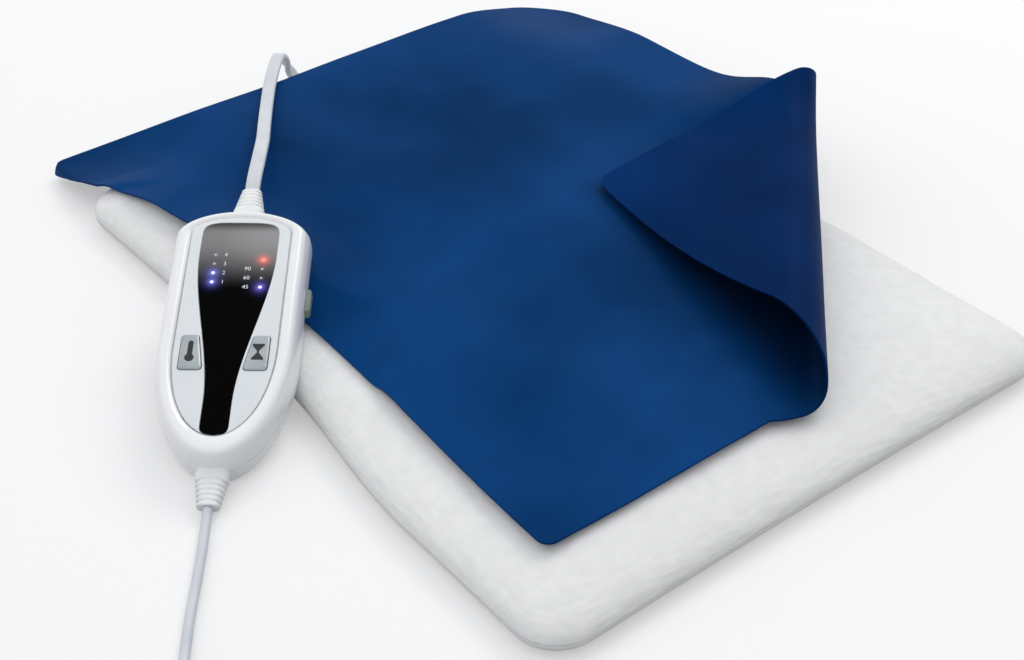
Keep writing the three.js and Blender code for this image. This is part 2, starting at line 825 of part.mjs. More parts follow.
// Past the fold line the sheet rolls over and comes back above itself
function sheetPoint(x, y) {
  const offset = new THREE.Vector2(x, y).sub(foldStart);
  const past = offset.dot(foldAcross);
  if (past <= 0) return sheetLying(x, y);
  const cornerAlong = sheetFoldFrontReach * foldLine.x;
  const cornerPast = sheetFoldFrontReach * foldAcross.x;
  const share = Math.min(past / cornerPast, 1);
  const flatFront = cornerAlong * share;
  const flatBack = mix(foldLength, cornerAlong, share);
  const across = (offset.dot(foldLine) - flatFront) / Math.max(flatBack - flatFront, mergeTolerance);
  const rolledFront = foldTipAlong * share ** foldFrontPower;
  const rolledBack = mix(foldLength, foldTipAlong, share ** foldBackPower);
  const along = mix(rolledFront, rolledBack, THREE.MathUtils.clamp(across, 0, 1));
  const radius = mix(foldRadiusFront, foldRadiusBack, along / foldLength);
  const fullTurn = halfTurn + radians(foldFlapSlope);
  const turn = Math.min(past / radius, fullTurn);
  const flap = Math.max(past - radius * fullTurn, 0) * foldFlapStretch;
  const outward = radius * Math.sin(turn) + flap * Math.cos(fullTurn);
  const upward = radius * (1 - Math.cos(turn)) + flap * Math.sin(fullTurn);
  const above = upward - foldFlapGap;
  const kept = foldFlapGap + (above + Math.hypot(above, foldFlapEase)) / 2;
  const lift = mix(upward, kept, ease((turn / halfTurn - 0.6) / 0.4));
  const place = foldStart.clone().addScaledVector(foldLine, along).addScaledVector(foldAcross, outward);
  const ground = sheetLying(
    THREE.MathUtils.clamp(place.x, sheetLeft, sheetRight),
    THREE.MathUtils.clamp(place.y, sheetFront, sheetBack),
  );
  return new THREE.Vector3(place.x, place.y, ground.z + lift);
}

function sheetNormal(x, y) {
  const step = sheetThickness / 4;
  const alongX = sheetPoint(x + step, y).sub(sheetPoint(x - step, y));
  const alongY = sheetPoint(x, y + step).sub(sheetPoint(x, y - step));
  return alongX.cross(alongY).normalize();
}

function waterproofSheet() {
  const crowded = (share) => share + (sheetCrowding * Math.sin(halfTurn * share)) / halfTurn;
  const top = [];
  const bottom = [];
  for (let row = 0; row <= sheetRows; row += 1) {
    const y = sheetBack - sheetLength * crowded(1 - row / sheetRows);
    for (let column = 0; column <= sheetColumns; column += 1) {
      const x = sheetLeft + sheetWidth * crowded(column / sheetColumns);
      const place = sheetPoint(x, y);
      const normal = sheetNormal(x, y);
      top.push(place.clone().addScaledVector(normal, sheetThickness / 2).toArray());
      bottom.push(place.clone().addScaledVector(normal, -sheetThickness / 2).toArray());
    }
  }
  const wide = sheetColumns + 1;
  const under = top.length;
  const faces = [];
  for (let row = 0; row < sheetRows; row += 1) {
    for (let column = 0; column < sheetColumns; column += 1) {
      const a = row * wide + column;
      const b = a + 1;
      const c = b + wide;
      const d = a + wide;
      faces.push([a, b, c], [a, c, d]);
      faces.push([under + a, under + c, under + b], [under + a, under + d, under + c]);
    }
  }
  const rim = [];
  for (let column = 0; column < sheetColumns; column += 1) rim.push(column);
  for (let row = 0; row < sheetRows; row += 1) rim.push(row * wide + sheetColumns);
  for (let column = sheetColumns; column > 0; column -= 1) rim.push(sheetRows * wide + column);
  for (let row = sheetRows; row > 0; row -= 1) rim.push(row * wide);
  rim.forEach((here, i) => {
    const next = rim[(i + 1) % rim.length];
    faces.push([here, under + here, under + next], [here, under + next, next]);
  });
  return meshOf([...top, ...bottom], faces);
}

addPiece(part, 'waterproof_sheet', waterproofSheet(), waterproof);

// Casing outline, as seen from the face; x runs from the lower end to the upper end
function controllerOutline(inset) {
  const half = controllerHalfWidth - inset;
  const crownStart = controllerLength - crownLength;
  const side = [];
  for (let k = 1; k <= footSteps; k += 1) {
    const angle = (halfTurn / 2) * (k / footSteps);
    const along = taperLength - (taperLength - inset) * Math.cos(angle);
    side.push([along, half * Math.sin(angle)]);
  }
  for (let k = 1; k <= sideSteps; k += 1) {
    side.push([mix(taperLength, crownStart, k / sideSteps), half]);
  }
  for (let k = 1; k < crownSteps; k += 1) {
    const angle = (halfTurn / 2) * (k / crownSteps);
    const along = crownStart + (crownLength - inset) * power(Math.sin(angle), 2 / crownPower);
    side.push([along, half * power(Math.cos(angle), 2 / crownPower)]);
  }
  const mirrored = side.map(([x, y]) => [x, -y]);
  return [[inset, 0], ...mirrored, [controllerLength - inset, 0], ...side.reverse()];
}

const rimFall = (x) => rimDropAtTop * ease((x - taperLength) / (controllerLength - taperLength));

function casingRing(inset, z, followsRim) {
  return controllerOutline(inset).map(([x, y]) => [x, y, z - (followsRim ? rimFall(x) : 0)]);
}

const bothEndPosts = [
  [topPostPlace, topPostOffset],
  [topPostPlace, -topPostOffset],
  [bottomPostPlace, bottomPostOffset],
  [bottomPostPlace, -bottomPostOffset],
];
const boardPosts = [
  [boardStart + boardPostInset, boardHalfWidth - boardPostInset],
  [boardStart + boardPostInset, boardPostInset - boardHalfWidth],
  [boardEnd - boardPostInset, boardHalfWidth - boardPostInset],
  [boardEnd - boardPostInset, boardPostInset - boardHalfWidth],
];
const partingBottom = partingHeight - partingGap / 2;
const partingTop = partingHeight + partingGap / 2;
const wallOuterY = -controllerHalfWidth;
const wallInnerY = wallOuterY + shellWall;

function entryHoles() {
  const upperStart = controllerLength - reliefFlangeSetback;
  return [
    rodAlongX(entryRadius, -overrun, reliefFlangeSetback, 0, partingHeight),
    rodAlongX(entryRadius, upperStart, controllerLength + overrun, 0, partingHeight),
  ];
}

const slideSlot = () => box(
  slidePlace - slideKnobLength / 2 - slideGap,
  slidePlace + slideKnobLength / 2 + slideTravel + slideGap,
  wallOuterY - overrun,
  wallInnerY + overrun,
  partingHeight - slideKnobHeight / 2 - slideGap,
  partingHeight + slideKnobHeight / 2 + slideGap,
);

// Curved skins of the two shells: each row is a share of the inset and a share of the height
const soleShares = [[1, 0], [0.5, 0.11], [0.2, 0.37], [0.05, 0.74], [0, 1]];
const rimOuterShares = [[0.35, 0.91], [0.7, 0.985], [1, 1]];
const rimInnerShares = [[0.6, 0.985], [1, 0.965]];

function baseShell() {
  const bossStart = shellWall / 2;
  const cup = ringSolid([
    ...soleShares.map(([inset, height]) => casingRing(soleInset * inset, partingBottom * height)),
    casingRing(shellWall, partingBottom),
    casingRing(shellWall, shellWall * 3),
    casingRing(soleInset, shellWall),
  ]);
  const bosses = bothEndPosts.map(([x, y]) => post(bossRadius, x, y, bossStart, partingBottom));
  const pillarTop = boardBottom - seatGap;
  const pillars = boardPosts.map(([x, y]) => post(boardPostRadius, x, y, bossStart, pillarTop, 10));
  const shanks = bothEndPosts.map(([x, y]) => post(screwHoleRadius, x, y, -overrun, partingTop));
  const recessRadius = screwHeadRadius + seatGap;
  const recesses = bothEndPosts.map(([x, y]) => post(recessRadius, x, y, -overrun, screwRecessDepth));
  return shaped(cup, [...bosses, ...pillars], [...shanks, ...recesses, ...entryHoles(), slideSlot()]);
}

function topShell() {
  const ledgeInset = recessInset + ledgeWidth;
  const ledgeBottom = panelSeat - ledgeThickness;
  const shell = ringSolid([
    casingRing(0, partingTop),
    casingRing(rimInset * 0.1, rimHeight * 0.7),
    ...rimOuterShares.map(([inset, height]) => casingRing(rimInset * inset, rimHeight * height, true)),
    ...rimInnerShares.map(([inset, height]) =>
      casingRing(mix(rimInset, recessInset, inset), rimHeight * height, true)),
    casingRing(recessInset, panelSeat),
    casingRing(ledgeInset, panelSeat),
    casingRing(ledgeInset, ledgeBottom),
    casingRing(ledgeInset * 0.5, ledgeBottom - seatGap),
    casingRing(shellWall, ledgeBottom - shellWall),
    casingRing(shellWall, partingTop),
  ], true);
  const postTop = ledgeBottom + ledgeThickness / 4;
  const holeBottom = partingTop - overrun;
  const holeTop = screwLength + screwRecessDepth;
  const posts = bothEndPosts.map(([x, y]) => post(postRadius, x, y, partingTop, postTop));
  const pilots = bothEndPosts.map(([x, y]) => post(screwHoleRadius, x, y, holeBottom, holeTop));
  return shaped(shell, posts, [...pilots, ...entryHoles(), slideSlot()]);
}

// Display lens outline, grown by a margin on every side
const lensHalfWidth = (x) => mix(
  lensHalfWidthBottom,
  lensHalfWidthTop,
  ease((x - lensFlareStart) / (lensFlareEnd - lensFlareStart)),
);

function lensOutline(margin) {
  const footEnd = lensBottom + lensFootLength;
  const capStart = lensTop - lensCapLength;
  const side = [];
  for (let k = 1; k <= lensCapSteps; k += 1) {
    const angle = (halfTurn / 2) * (k / lensCapSteps);
    const along = footEnd - (lensFootLength + margin) * power(Math.cos(angle), 2 / lensFootPower);
    side.push([along, (lensHalfWidthBottom + margin) * power(Math.sin(angle), 2 / lensFootPower)]);
  }
  for (let k = 0; k <= lensSideSteps; k += 1) {
    const along = mix(lensFlareStart, capStart, k / lensSideSteps);
    side.push([along, lensHalfWidth(along) + margin]);
  }
  for (let k = 1; k < lensCapSteps; k += 1) {
    const angle = (halfTurn / 2) * (k / lensCapSteps);
    const along = capStart + (lensCapLength + margin) * power(Math.sin(angle), 2 / lensCapPower);
    side.push([along, (lensHalfWidthTop + margin) * power(Math.cos(angle), 2 / lensCapPower)]);
  }
  const mirrored = side.map(([x, y]) => [x, -y]);
  return [[lensBottom - margin, 0], ...mirrored, [lensTop + margin, 0], ...side.reverse()];
}

// Buttons sit between the lens and the rim; side is 1 for the left one and -1 for the right one
function buttonOutline(side, margin) {
  const inner = (x) => side * (lensHalfWidth(x) + buttonLensMargin - margin);
  const outer = side * (buttonOuterEdge + margin);
  const low = buttonBottom - margin;
  const high = buttonTop + margin;
  const corners = [[low, inner(low)], [high, inner(high)], [high, outer], [low, outer]];
  return roundedCorners(corners, buttonCorner + margin, 3);
}

const buttonMiddle = (buttonBottom + buttonTop) / 2;
const buttonCentre = (lensHalfWidth(buttonMiddle) + buttonLensMargin + buttonOuterEdge) / 2;
const panelBottom = panelTop - panelThickness;
const lensBack = panelTop - lensThickness;
const lightPlaces = Array.from({ length: lightCount }, (_, k) => [
  [heatLightTop - k * lightSpacing, heatLightOffset],
  [timerLightTop - k * lightSpacing, -timerLightOffset],
]);

function facePanel() {
  const panel = plate(controllerOutline(recessInset + seatGap), panelBottom, panelTop);
  const pocket = plate(lensOutline(seatGap), lensBack - seatGap, panelTop + overrun);
  const buttonHoles = [1, -1].map((side) =>
    plate(buttonOutline(side, slideGap), panelBottom - overrun, panelTop + overrun));
  const lightHoles = lightPlaces.flat().map(([x, y]) =>
    post(lightRadius + seatGap, x, y, panelBottom - overrun, panelTop, 12));
  return shaped(panel, [], [pocket, ...buttonHoles, ...lightHoles]);
}

function pushButton(side) {
  const flangeTop = panelBottom - slideGap;
  const flangeBottom = flangeTop - buttonFlangeThickness;
  const crownStart = panelTop + buttonProud / 2;
  const cap = ringSolid([
    atHeight(buttonOutline(side, 0), flangeBottom + seatGap),
    atHeight(buttonOutline(side, 0), crownStart),
    atHeight(buttonOutline(side, -buttonProud / 4), panelTop + buttonProud * 0.85),
    atHeight(buttonOutline(side, -buttonProud / 1.5), panelTop + buttonProud),
  ]);
  const flange = plate(buttonOutline(side, slideGap + buttonFlange), flangeBottom, flangeTop);
  const stemFoot = plungerTop + seatGap;
  const stem = post(buttonStemRadius, buttonMiddle, side * buttonCentre, stemFoot, flangeTop, 12);
  return shaped(cap, [flange, stem], []);
}

const partsHeight = boardBottom + boardThickness + seatGap;
const tactTop = partsHeight + tactHeight;
const plungerTop = tactTop + plungerProud;
const plungerBottom = tactTop - tactBoreDepth + buttonTravel + seatGap;

function tactSwitch(side) {
  const y = side * buttonCentre;
  const half = tactSize / 2;
  const body = box(buttonMiddle - half, buttonMiddle + half, y - half, y + half, partsHeight, tactTop);
  const bore = post(tactBoreRadius, buttonMiddle, y, tactTop - tactBoreDepth, tactTop + overrun, 12);
  return shaped(body, [], [bore]);
}

const plunger = (side) =>
  post(plungerRadius, buttonMiddle, side * buttonCentre, plungerBottom, plungerTop, 12);

// Slide switch: the knob's flange runs behind the wall and its prong moves the switch
const slideFlangeOuterY = wallInnerY + slideGap;
const slideFlangeInnerY = slideFlangeOuterY + slideFlangeThickness;
const slideBodyOuterY = slideFlangeInnerY + slideGap;
const slideProngZ = partsHeight + slideBodyHeight / 2;

function slideKnob() {
  const half = slideKnobLength / 2;
  const halfHeight = slideKnobHeight / 2;
  const outerY = wallOuterY - slideKnobProud;
  const knob = box(
    slidePlace - half,
    slidePlace + half,
    outerY,
    slideFlangeInnerY,
    partingHeight - halfHeight,
    partingHeight + halfHeight,
  );
  const flange = box(
    slidePlace - half - slideFlangeMargin,
    slidePlace + half + slideFlangeMargin,
    slideFlangeOuterY,
    slideFlangeInnerY,
    partingHeight - halfHeight - slideFlangeMargin,
    partingHeight + halfHeight + slideFlangeMargin,
  );
  const prong = box(
    slidePlace - slideProngLength / 2,
    slidePlace + slideProngLength / 2,
    slideFlangeInnerY - slideFlangeThickness / 2,
    slideFlangeInnerY + slideProngDepth,
    slideProngZ - slideProngHeight / 2,
    slideProngZ + slideProngHeight / 2,
  );
  const pitch = slideKnobLength / (slideRidges + 1);
  const grooves = Array.from({ length: slideRidges }, (_, k) => {
    const x = slidePlace - half + (k + 1) * pitch;
    return box(
      x - pitch / 4,
      x + pitch / 4,
      outerY - overrun,
      outerY + slideRidgeDepth,
      partingHeight - slideKnobHeight,
      partingHeight + slideKnobHeight,
    );
  });
  return shaped(knob, [flange, prong], grooves);
}

function slideBody() {
  const middle = slidePlace + slideTravel / 2;
  const body = box(
    middle - slideBodyLength / 2,
    middle + slideBodyLength / 2,
    slideBodyOuterY,
    slideBodyOuterY + slideBodyDepth,
    partsHeight,
    partsHeight + slideBodyHeight,
  );
  const pocket = box(
    slidePlace - slideProngLength / 2 - slideGap,
    slidePlace + slideProngLength / 2 + slideTravel + slideGap,
    slideBodyOuterY - overrun,
    slideFlangeInnerY + slideProngDepth + slideGap,
    slideProngZ - slideProngHeight / 2 - slideGap,
    slideProngZ + slideProngHeight / 2 + slideGap,
  );
  return shaped(body, [], [pocket]);
}

// Circuit board and the parts on it
const onBoard = (x, y, length, width, height) =>
  box(x - length / 2, x + length / 2, y - width / 2, y + width / 2, partsHeight, partsHeight + height);
const alongBoard = (share) => mix(boardStart, boardEnd, share);

function circuitBoard() {
  const outline = rectangle(boardStart, boardEnd, -boardHalfWidth, boardHalfWidth);
  return plate(roundedCorners(outline, boardCorner, 3), boardBottom, boardBottom + boardThickness);
}

function chip() {
  const x = alongBoard(chipPlaceShare);
  const body = onBoard(x, 0, chipLength, chipWidth, chipHeight);
  const dimple = post(chipWidth / 10, x - chipLength / 3, -chipWidth / 4,
    partsHeight + chipHeight * 0.8, partsHeight + chipHeight + overrun, 10);
  return shaped(body, [], [dimple]);
}

function capacitor() {
  const x = alongBoard(capacitorPlaceShare);
  return onBoard(x, 0, capacitorWidth, capacitorLength, capacitorHeight);
}

function triac() {
  const x = alongBoard(triacPlaceShare);
  const body = onBoard(x, triacOffset, triacLength, triacWidth, triacHeight * 0.55);
  const tab = onBoard(x, triacOffset + triacWidth / 3, triacLength, triacWidth / 4, triacHeight);
  return shaped(body, [tab], []);
}

function fuse() {
  const z = partsHeight + fuseRadius;
  const start = buttonMiddle + tactSize / 2 + fuseClearance;
  const end = start + fuseLength;
  const capLength = fuseLength / 4;
  const barrel = rodAlongX(fuseRadius * 0.85, start, end, fuseOffset, z, 12);
  const caps = [
    rodAlongX(fuseRadius, start, start + capLength, fuseOffset, z, 12),
    rodAlongX(fuseRadius, end - capLength, end, fuseOffset, z, 12),
  ];
  return shaped(barrel, caps, []);
}

function terminalBlock(atTopEnd) {
  const outerX = atTopEnd ? boardEnd + terminalOverhang : boardStart - terminalOverhang;
  const middle = atTopEnd ? outerX - terminalLength / 2 : outerX + terminalLength / 2;
  const block = onBoard(middle, 0, terminalLength, terminalWidth, terminalHeight);
  const wells = [-1, 1].map((side) => post(terminalWidth / 8, middle, (side * terminalWidth) / 4,
    partsHeight + terminalHeight * 0.6, partsHeight + terminalHeight + overrun, 10));
  return shaped(block, [], wells);
}

function indicatorLight(x, y) {
  const shoulder = partsHeight + lightSpacerHeight;
  const tip = lensBack - seatGap * 1.5;
  return turned([
    [0, partsHeight],
    [lightSpacerRadius, partsHeight],
    [lightSpacerRadius, shoulder],
    [lightRadius, shoulder],
    [lightRadius, tip - lightRadius / 2],
    [lightRadius / 1.5, tip],
    [0, tip],
  ], x, y);
}

function caseScrew(x, y) {
  const headTop = screwRecessDepth - seatGap;
  return turned([
    [0, headTop - screwHeadHeight],
    [screwHeadRadius * 0.7, headTop - screwHeadHeight],
    [screwHeadRadius, headTop - screwHeadHeight * 0.6],
    [screwHeadRadius, headTop],
    [screwShankRadius, headTop],
    [screwShankRadius, headTop + screwLength - screwShankRadius],
    [0, headTop + screwLength],
  ], x, y, 12);
}

// Strain relief of one end: the collar follows the casing and a flange holds it inside
function strainRelief(atTopEnd) {
  const tipWidth = atTopEnd ? topReliefTipWidth : bottomReliefTipWidth;
  const collar = [reliefReach * reliefCollarShare, reliefCollarWidth, reliefCollarHeight];
  const tip = [reliefReach, tipWidth, reliefTipHeight];
  const ribsFrom = [collar[0], collar[1] - reliefRibDepth, collar[2] - reliefRibDepth];
  const outer = sectionLoft([
    [-reliefFlangeSetback, collar[1], collar[2]],
    collar,
    ...ribSections(ribsFrom, tip, reliefRibs, reliefRibDepth).slice(1),
  ], reliefPoints, 2.6);
  const facing = atTopEnd ? outer : outer.rotateZ(halfTurn);
  const placed = facing.translate(atTopEnd ? controllerLength : 0, 0, partingHeight);
  const casing = plate(controllerOutline(-seatGap), -overrun, rimHeight);
  const trimmed = shaped(placed, [], [casing]);
  const endX = atTopEnd ? controllerLength : 0;
  const inward = atTopEnd ? -1 : 1;
  const flangeNear = endX + inward * reliefFlangeSetback;
  const flangeFar = flangeNear + inward * reliefFlangeThickness;
  const outsideX = endX - inward * overrun;
  const neck = rodAlongX(entryRadius - seatGap, Math.min(outsideX, flangeFar),
    Math.max(outsideX, flangeFar), 0, partingHeight);
  const flange = rodAlongX(reliefFlangeRadius, Math.min(flangeNear, flangeFar),
    Math.max(flangeNear, flangeFar), 0, partingHeight);
  return shaped(trimmed, [neck, flange], []);
}

function cordClamp(atTopEnd) {
  const start = atTopEnd ? controllerLength - clampSetback - clampLength : clampSetback;
  const end = start + clampLength;
  const top = partingHeight + innerLeadRadius + seatGap + clampRoof;
  const block = box(start, end, -clampWidth / 2, clampWidth / 2, shellWall + seatGap, top);
  const hole = rodAlongX(innerLeadRadius + seatGap, start - overrun, end + overrun, 0, partingHeight);
  return shaped(block, [], [hole]);
}

function innerLead(atTopEnd) {
  const flangeFace = reliefFlangeSetback + reliefFlangeThickness + seatGap;
  const start = atTopEnd ? boardEnd + terminalOverhang + seatGap : flangeFace;
  const end = atTopEnd ? controllerLength - flangeFace : boardStart - terminalOverhang - seatGap;
  return rodAlongX(innerLeadRadius, start, end, 0, partingHeight);
}

addPiece(controller, 'controller_base_shell', baseShell(), whiteShell);
addPiece(controller, 'controller_top_shell', topShell(), whiteShell);
addPiece(controller, 'face_panel', facePanel(), paleShell);
addPiece(controller, 'display_lens', plate(lensOutline(0), lensBack, panelTop), blackGloss);
addPiece(controller, 'heat_button', pushButton(1), satinGrey);
addPiece(controller, 'timer_button', pushButton(-1), satinGrey);
addPiece(controller, 'heat_switch_plunger', plunger(1), blackPlastic);
addPiece(controller, 'timer_switch_plunger', plunger(-1), blackPlastic);
addPiece(controller, 'heat_tact_switch', tactSwitch(1), blackPlastic);
addPiece(controller, 'timer_tact_switch', tactSwitch(-1), blackPlastic);
addPiece(controller, 'power_slide_knob', slideKnob(), greyGreen);
addPiece(controller, 'power_slide_switch', slideBody(), blackPlastic);
addPiece(controller, 'circuit_board', circuitBoard(), circuitGreen);
addPiece(controller, 'processor_chip', chip(), blackPlastic);
addPiece(controller, 'power_triac', triac(), blackPlastic);
addPiece(controller, 'filter_capacitor', capacitor(), orangePlastic);
addPiece(controller, 'mains_fuse', fuse(), glassTube);
addPiece(controller, 'mains_terminal_block', terminalBlock(false), whiteRubber);
addPiece(controller, 'pad_terminal_block', terminalBlock(true), whiteRubber);
lightPlaces.forEach(([heat, timer], k) => {
  addPiece(controller, `heat_light_${k + 1}`, indicatorLight(...heat), clearLight);
  addPiece(controller, `timer_light_${k + 1}`, indicatorLight(...timer), clearLight);
});
bothEndPosts.forEach(([x, y], k) => {
  addPiece(controller, `case_screw_${k + 1}`, caseScrew(x, y), screwSteel);
});
addPiece(controller, 'upper_strain_relief', strainRelief(true), whiteRubber);
addPiece(controller, 'lower_strain_relief', strainRelief(false), whiteRubber);
addPiece(controller, 'pad_cord_clamp', cordClamp(true), blackPlastic);
addPiece(controller, 'mains_cord_clamp', cordClamp(false), blackPlastic);
addPiece(controller, 'pad_inner_lead', innerLead(true), whiteCable);
addPiece(controller, 'mains_inner_lead', innerLead(false), whiteCable);

// Free cords, all placed from the pad's left edge
const cords = new THREE.Group();
cords.position.x = padLeft;
part.add(cords);

const toCurve = (route) => new THREE.CatmullRomCurve3(route.map((point) => new THREE.Vector3(...point)));

function sweptCord(route, width, thickness, sides, steps) {
  const section = new THREE.Shape();
  section.absellipse(0, 0, thickness / 2, width / 2, 0, 2 * halfTurn);
  const options = { steps, curveSegments: sides / 2, extrudePath: toCurve(route), bevelEnabled: false };
  return new THREE.ExtrudeGeometry(section, options);
}

const roundCord = (route, steps) =>
  sweptCord(route, mainsCordDiameter, mainsCordDiameter, mainsCordSides, steps);

addPiece(cords, 'pad_cord',
  sweptCord(padCordRoute, padCordWidth, padCordThickness, padCordSides, padCordSteps), whiteCable);
addPiece(cords, 'mains_cord', roundCord(mainsCordRoute, mainsCordSteps), whiteCable);
addPiece(cords, 'mains_cord_tail', roundCord(mainsTailRoute, mainsTailSteps), whiteCable);

// Coil: layers wound in and out, climbing half a turn where the spiral turns back
const coilSweep = coilWholeTurns * 2 * halfTurn + radians(coilEndAngle - coilStartAngle);
const coilLayerSweep = coilSweep / coilLayers;

function coilPoint(angle) {
  const layer = Math.min(Math.floor(angle / coilLayerSweep), coilLayers - 1);
  const within = angle - layer * coilLayerSweep;
  const inward = (coilPitch * within) / (2 * halfTurn);
  const depth = (coilPitch * coilLayerSweep) / (2 * halfTurn);
  const radius = coilOuterRadius - (layer % 2 === 0 ? inward : depth - inward);
  let height = coilBaseHeight;
  for (let k = 1; k < coilLayers; k += 1) {
    height += coilPitch * ease((angle - k * coilLayerSweep + halfTurn / 2) / halfTurn);
  }
  const direction = radians(coilStartAngle) + angle;
  return new THREE.Vector3(
    coilCentreX + radius * Math.cos(direction),
    coilCentreY + radius * Math.sin(direction),
    height,
  );
}

function coilPoints() {
  const count = Math.round((coilSweep / (2 * halfTurn)) * coilStepsPerTurn);
  const points = Array.from({ length: count + 1 }, (_, k) => coilPoint((coilSweep * k) / count));
  const step = coilSweep / count / 4;
  const startWay = points[0].clone().sub(coilPoint(step)).setZ(0).normalize();
  const endWay = points[count].clone().sub(coilPoint(coilSweep - step)).setZ(0).normalize();
  return {
    wound: points,
    led: [
      points[0].clone().addScaledVector(startWay, mainsCordDiameter),
      ...points,
      points[count].clone().addScaledVector(endWay, mainsCordDiameter),
    ],
  };
}

function leastCoilGap(points) {
  let least = Infinity;
  points.forEach((point, i) => {
    for (let j = i + coilStepsPerTurn / 2; j < points.length; j += 1) {
      const ahead = j + 1 < points.length ? new THREE.Line3(points[j], points[j + 1]) : null;
      const nearest = ahead ? ahead.closestPointToPoint(point, true, new THREE.Vector3()) : points[j];
      least = Math.min(least, point.distanceTo(nearest) - mainsCordDiameter);
    }
  });
  return least;
}

const coil = coilPoints();
console.log(`coil: least gap to itself ${leastCoilGap(coil.led).toFixed(2)} mm`);
addPiece(cords, 'mains_cord_coil',
  levelTube(coil.led.map((point) => point.toArray()), mainsCordDiameter / 2, coilSides), whiteCable);

// Tie around the coil's bundle
function coilTie() {
  const innerRadius = coilOuterRadius - (coilPitch * coilLayerSweep) / (2 * halfTurn);
  const margin = mainsCordDiameter / 2 + tieGap;
  const topHeight = coilBaseHeight + coilPitch * (coilLayers - 1);
  const window = [innerRadius - margin, coilOuterRadius + margin];
  const level = [coilBaseHeight - margin, topHeight + margin];
  const grown = (range, size) => [range[0] - size, range[1] + size];
  const outer = rectangle(...grown(window, tieThickness), ...grown(level, tieThickness));
  const hole = rectangle(...window, ...level);
  const corner = mainsCordDiameter / 2;
  const band = plate(roundedCorners(outer, corner, 3), -tieWidth / 2, tieWidth / 2, [
    roundedCorners(hole, corner - tieThickness / 2, 3),
  ]);
  band.rotateX(halfTurn / 2).rotateZ(radians(tiePlaceAngle));
  return band.translate(coilCentreX, coilCentreY, 0);
}

addPiece(cords, 'coil_tie', coilTie(), blackPlastic);

// Plug lying on the floor, its relief toward the coil and its pins along +X
const plug = new THREE.Group();
plug.position.set(plugPlaceX, plugPlaceY, plugAxisHeight);
cords.add(plug);

// Plug outline: shares of the length, of the change in width and of the thickness
const plugShoulderShares = [[0.1, 0.04, 0.83], [0.3, 0.55, 1], [0.5, 1, 1]];
const plugFaceShares = [[0.75, 0.3, 1], [0.95, 1, 0.95], [1, 1.28, 0.85]];

function plugBody() {
  const half = plugThickness / 2;
  const body = sectionLoft([
    [seatGap, plugNeckWidth / 2, half * plugShoulderShares[0][2]],
    ...plugShoulderShares.map(([along, wide, high]) =>
      [plugLength * along, mix(plugNeckWidth, plugWidth, wide) / 2, half * high]),
    ...plugFaceShares.map(([along, narrow, high]) =>
      [plugLength * along, mix(plugWidth, plugFaceWidth, narrow) / 2, half * high]),
  ], 20, 3);
  const bores = [1, -1].map((side) => rodAlongX(
    plugPinRadius + seatGap,
    plugLength - plugPinSeat - seatGap,
    plugLength + overrun,
    (side * plugPinSpacing) / 2,
    0,
    12,
  ));
  return shaped(body, [], bores);
}

function plugPin(side) {
  const profile = [
    [0, plugLength - plugPinSeat],
    [plugPinRadius, plugLength - plugPinSeat],
    [plugPinRadius, plugLength + plugPinLength - plugPinRadius],
    [plugPinRadius * 0.6, plugLength + plugPinLength - plugPinRadius * 0.2],
    [0, plugLength + plugPinLength],
  ];
  return turned(profile, 0, 0, 12).rotateY(halfTurn / 2).translate(0, (side * plugPinSpacing) / 2, 0);
}

function plugRelief() {
  const base = [0, plugReliefRadius, plugReliefRadius];
  const tip = [plugReliefLength, plugReliefTipRadius, plugReliefTipRadius];
  const sections = [base, ...ribSections(base, tip, plugReliefRibs, plugReliefRibDepth).slice(1)];
  return sectionLoft(sections, reliefPoints).rotateZ(halfTurn);
}

addPiece(plug, 'plug_body', plugBody(), whiteRubber);
addPiece(plug, 'plug_relief', plugRelief(), whiteRubber);
addPiece(plug, 'plug_pin_left', plugPin(1), plugBrass);
addPiece(plug, 'plug_pin_right', plugPin(-1), plugBrass);

export default part;
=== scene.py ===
"""Looks of a fleece heating pad with a waterproof sheet, a hand controller and its cords."""

import json
import logging
import math
from dataclasses import dataclass, field
from enum import Enum
from functools import cache
from typing import Callable, Iterable, Iterator, Sequence

import bmesh
import bpy
import numpy as np
from mathutils import Matrix, Vector, noise


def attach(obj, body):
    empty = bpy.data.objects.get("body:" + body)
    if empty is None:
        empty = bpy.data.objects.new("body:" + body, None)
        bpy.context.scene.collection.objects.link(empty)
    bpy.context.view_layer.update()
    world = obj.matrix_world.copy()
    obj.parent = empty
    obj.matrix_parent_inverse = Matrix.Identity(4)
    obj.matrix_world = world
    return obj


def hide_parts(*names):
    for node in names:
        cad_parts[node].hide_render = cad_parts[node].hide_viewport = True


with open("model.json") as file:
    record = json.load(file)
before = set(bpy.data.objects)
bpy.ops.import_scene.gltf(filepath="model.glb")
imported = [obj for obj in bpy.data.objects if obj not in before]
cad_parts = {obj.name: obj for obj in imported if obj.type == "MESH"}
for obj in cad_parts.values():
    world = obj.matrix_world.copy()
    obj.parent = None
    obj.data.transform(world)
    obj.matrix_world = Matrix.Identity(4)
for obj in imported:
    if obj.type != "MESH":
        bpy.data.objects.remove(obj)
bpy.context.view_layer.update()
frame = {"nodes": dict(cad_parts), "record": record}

log = logging.getLogger("heating_pad")
MM = 0.001
Point = Sequence[float]
Pair = tuple[float, float]
Triple = tuple[float, float, float]
Colour = tuple[float, float, float, float]
Ring = list[Vector]
Edges = list[bmesh.types.BMEdge]
Array = np.ndarray


class Body(Enum):
    """The rigid bodies that pieces ride on."""

    PAD_SET = "heating_pad_set"
    HEAT_BUTTON = "heat_button"
    TIMER_BUTTON = "timer_button"
    POWER_KNOB = "power_knob"


def ease(value: float) -> float:
    """Returns a smooth step of value between 0 and 1."""
    t = min(max(value, 0.0), 1.0)
    return t * t * (3 - 2 * t)


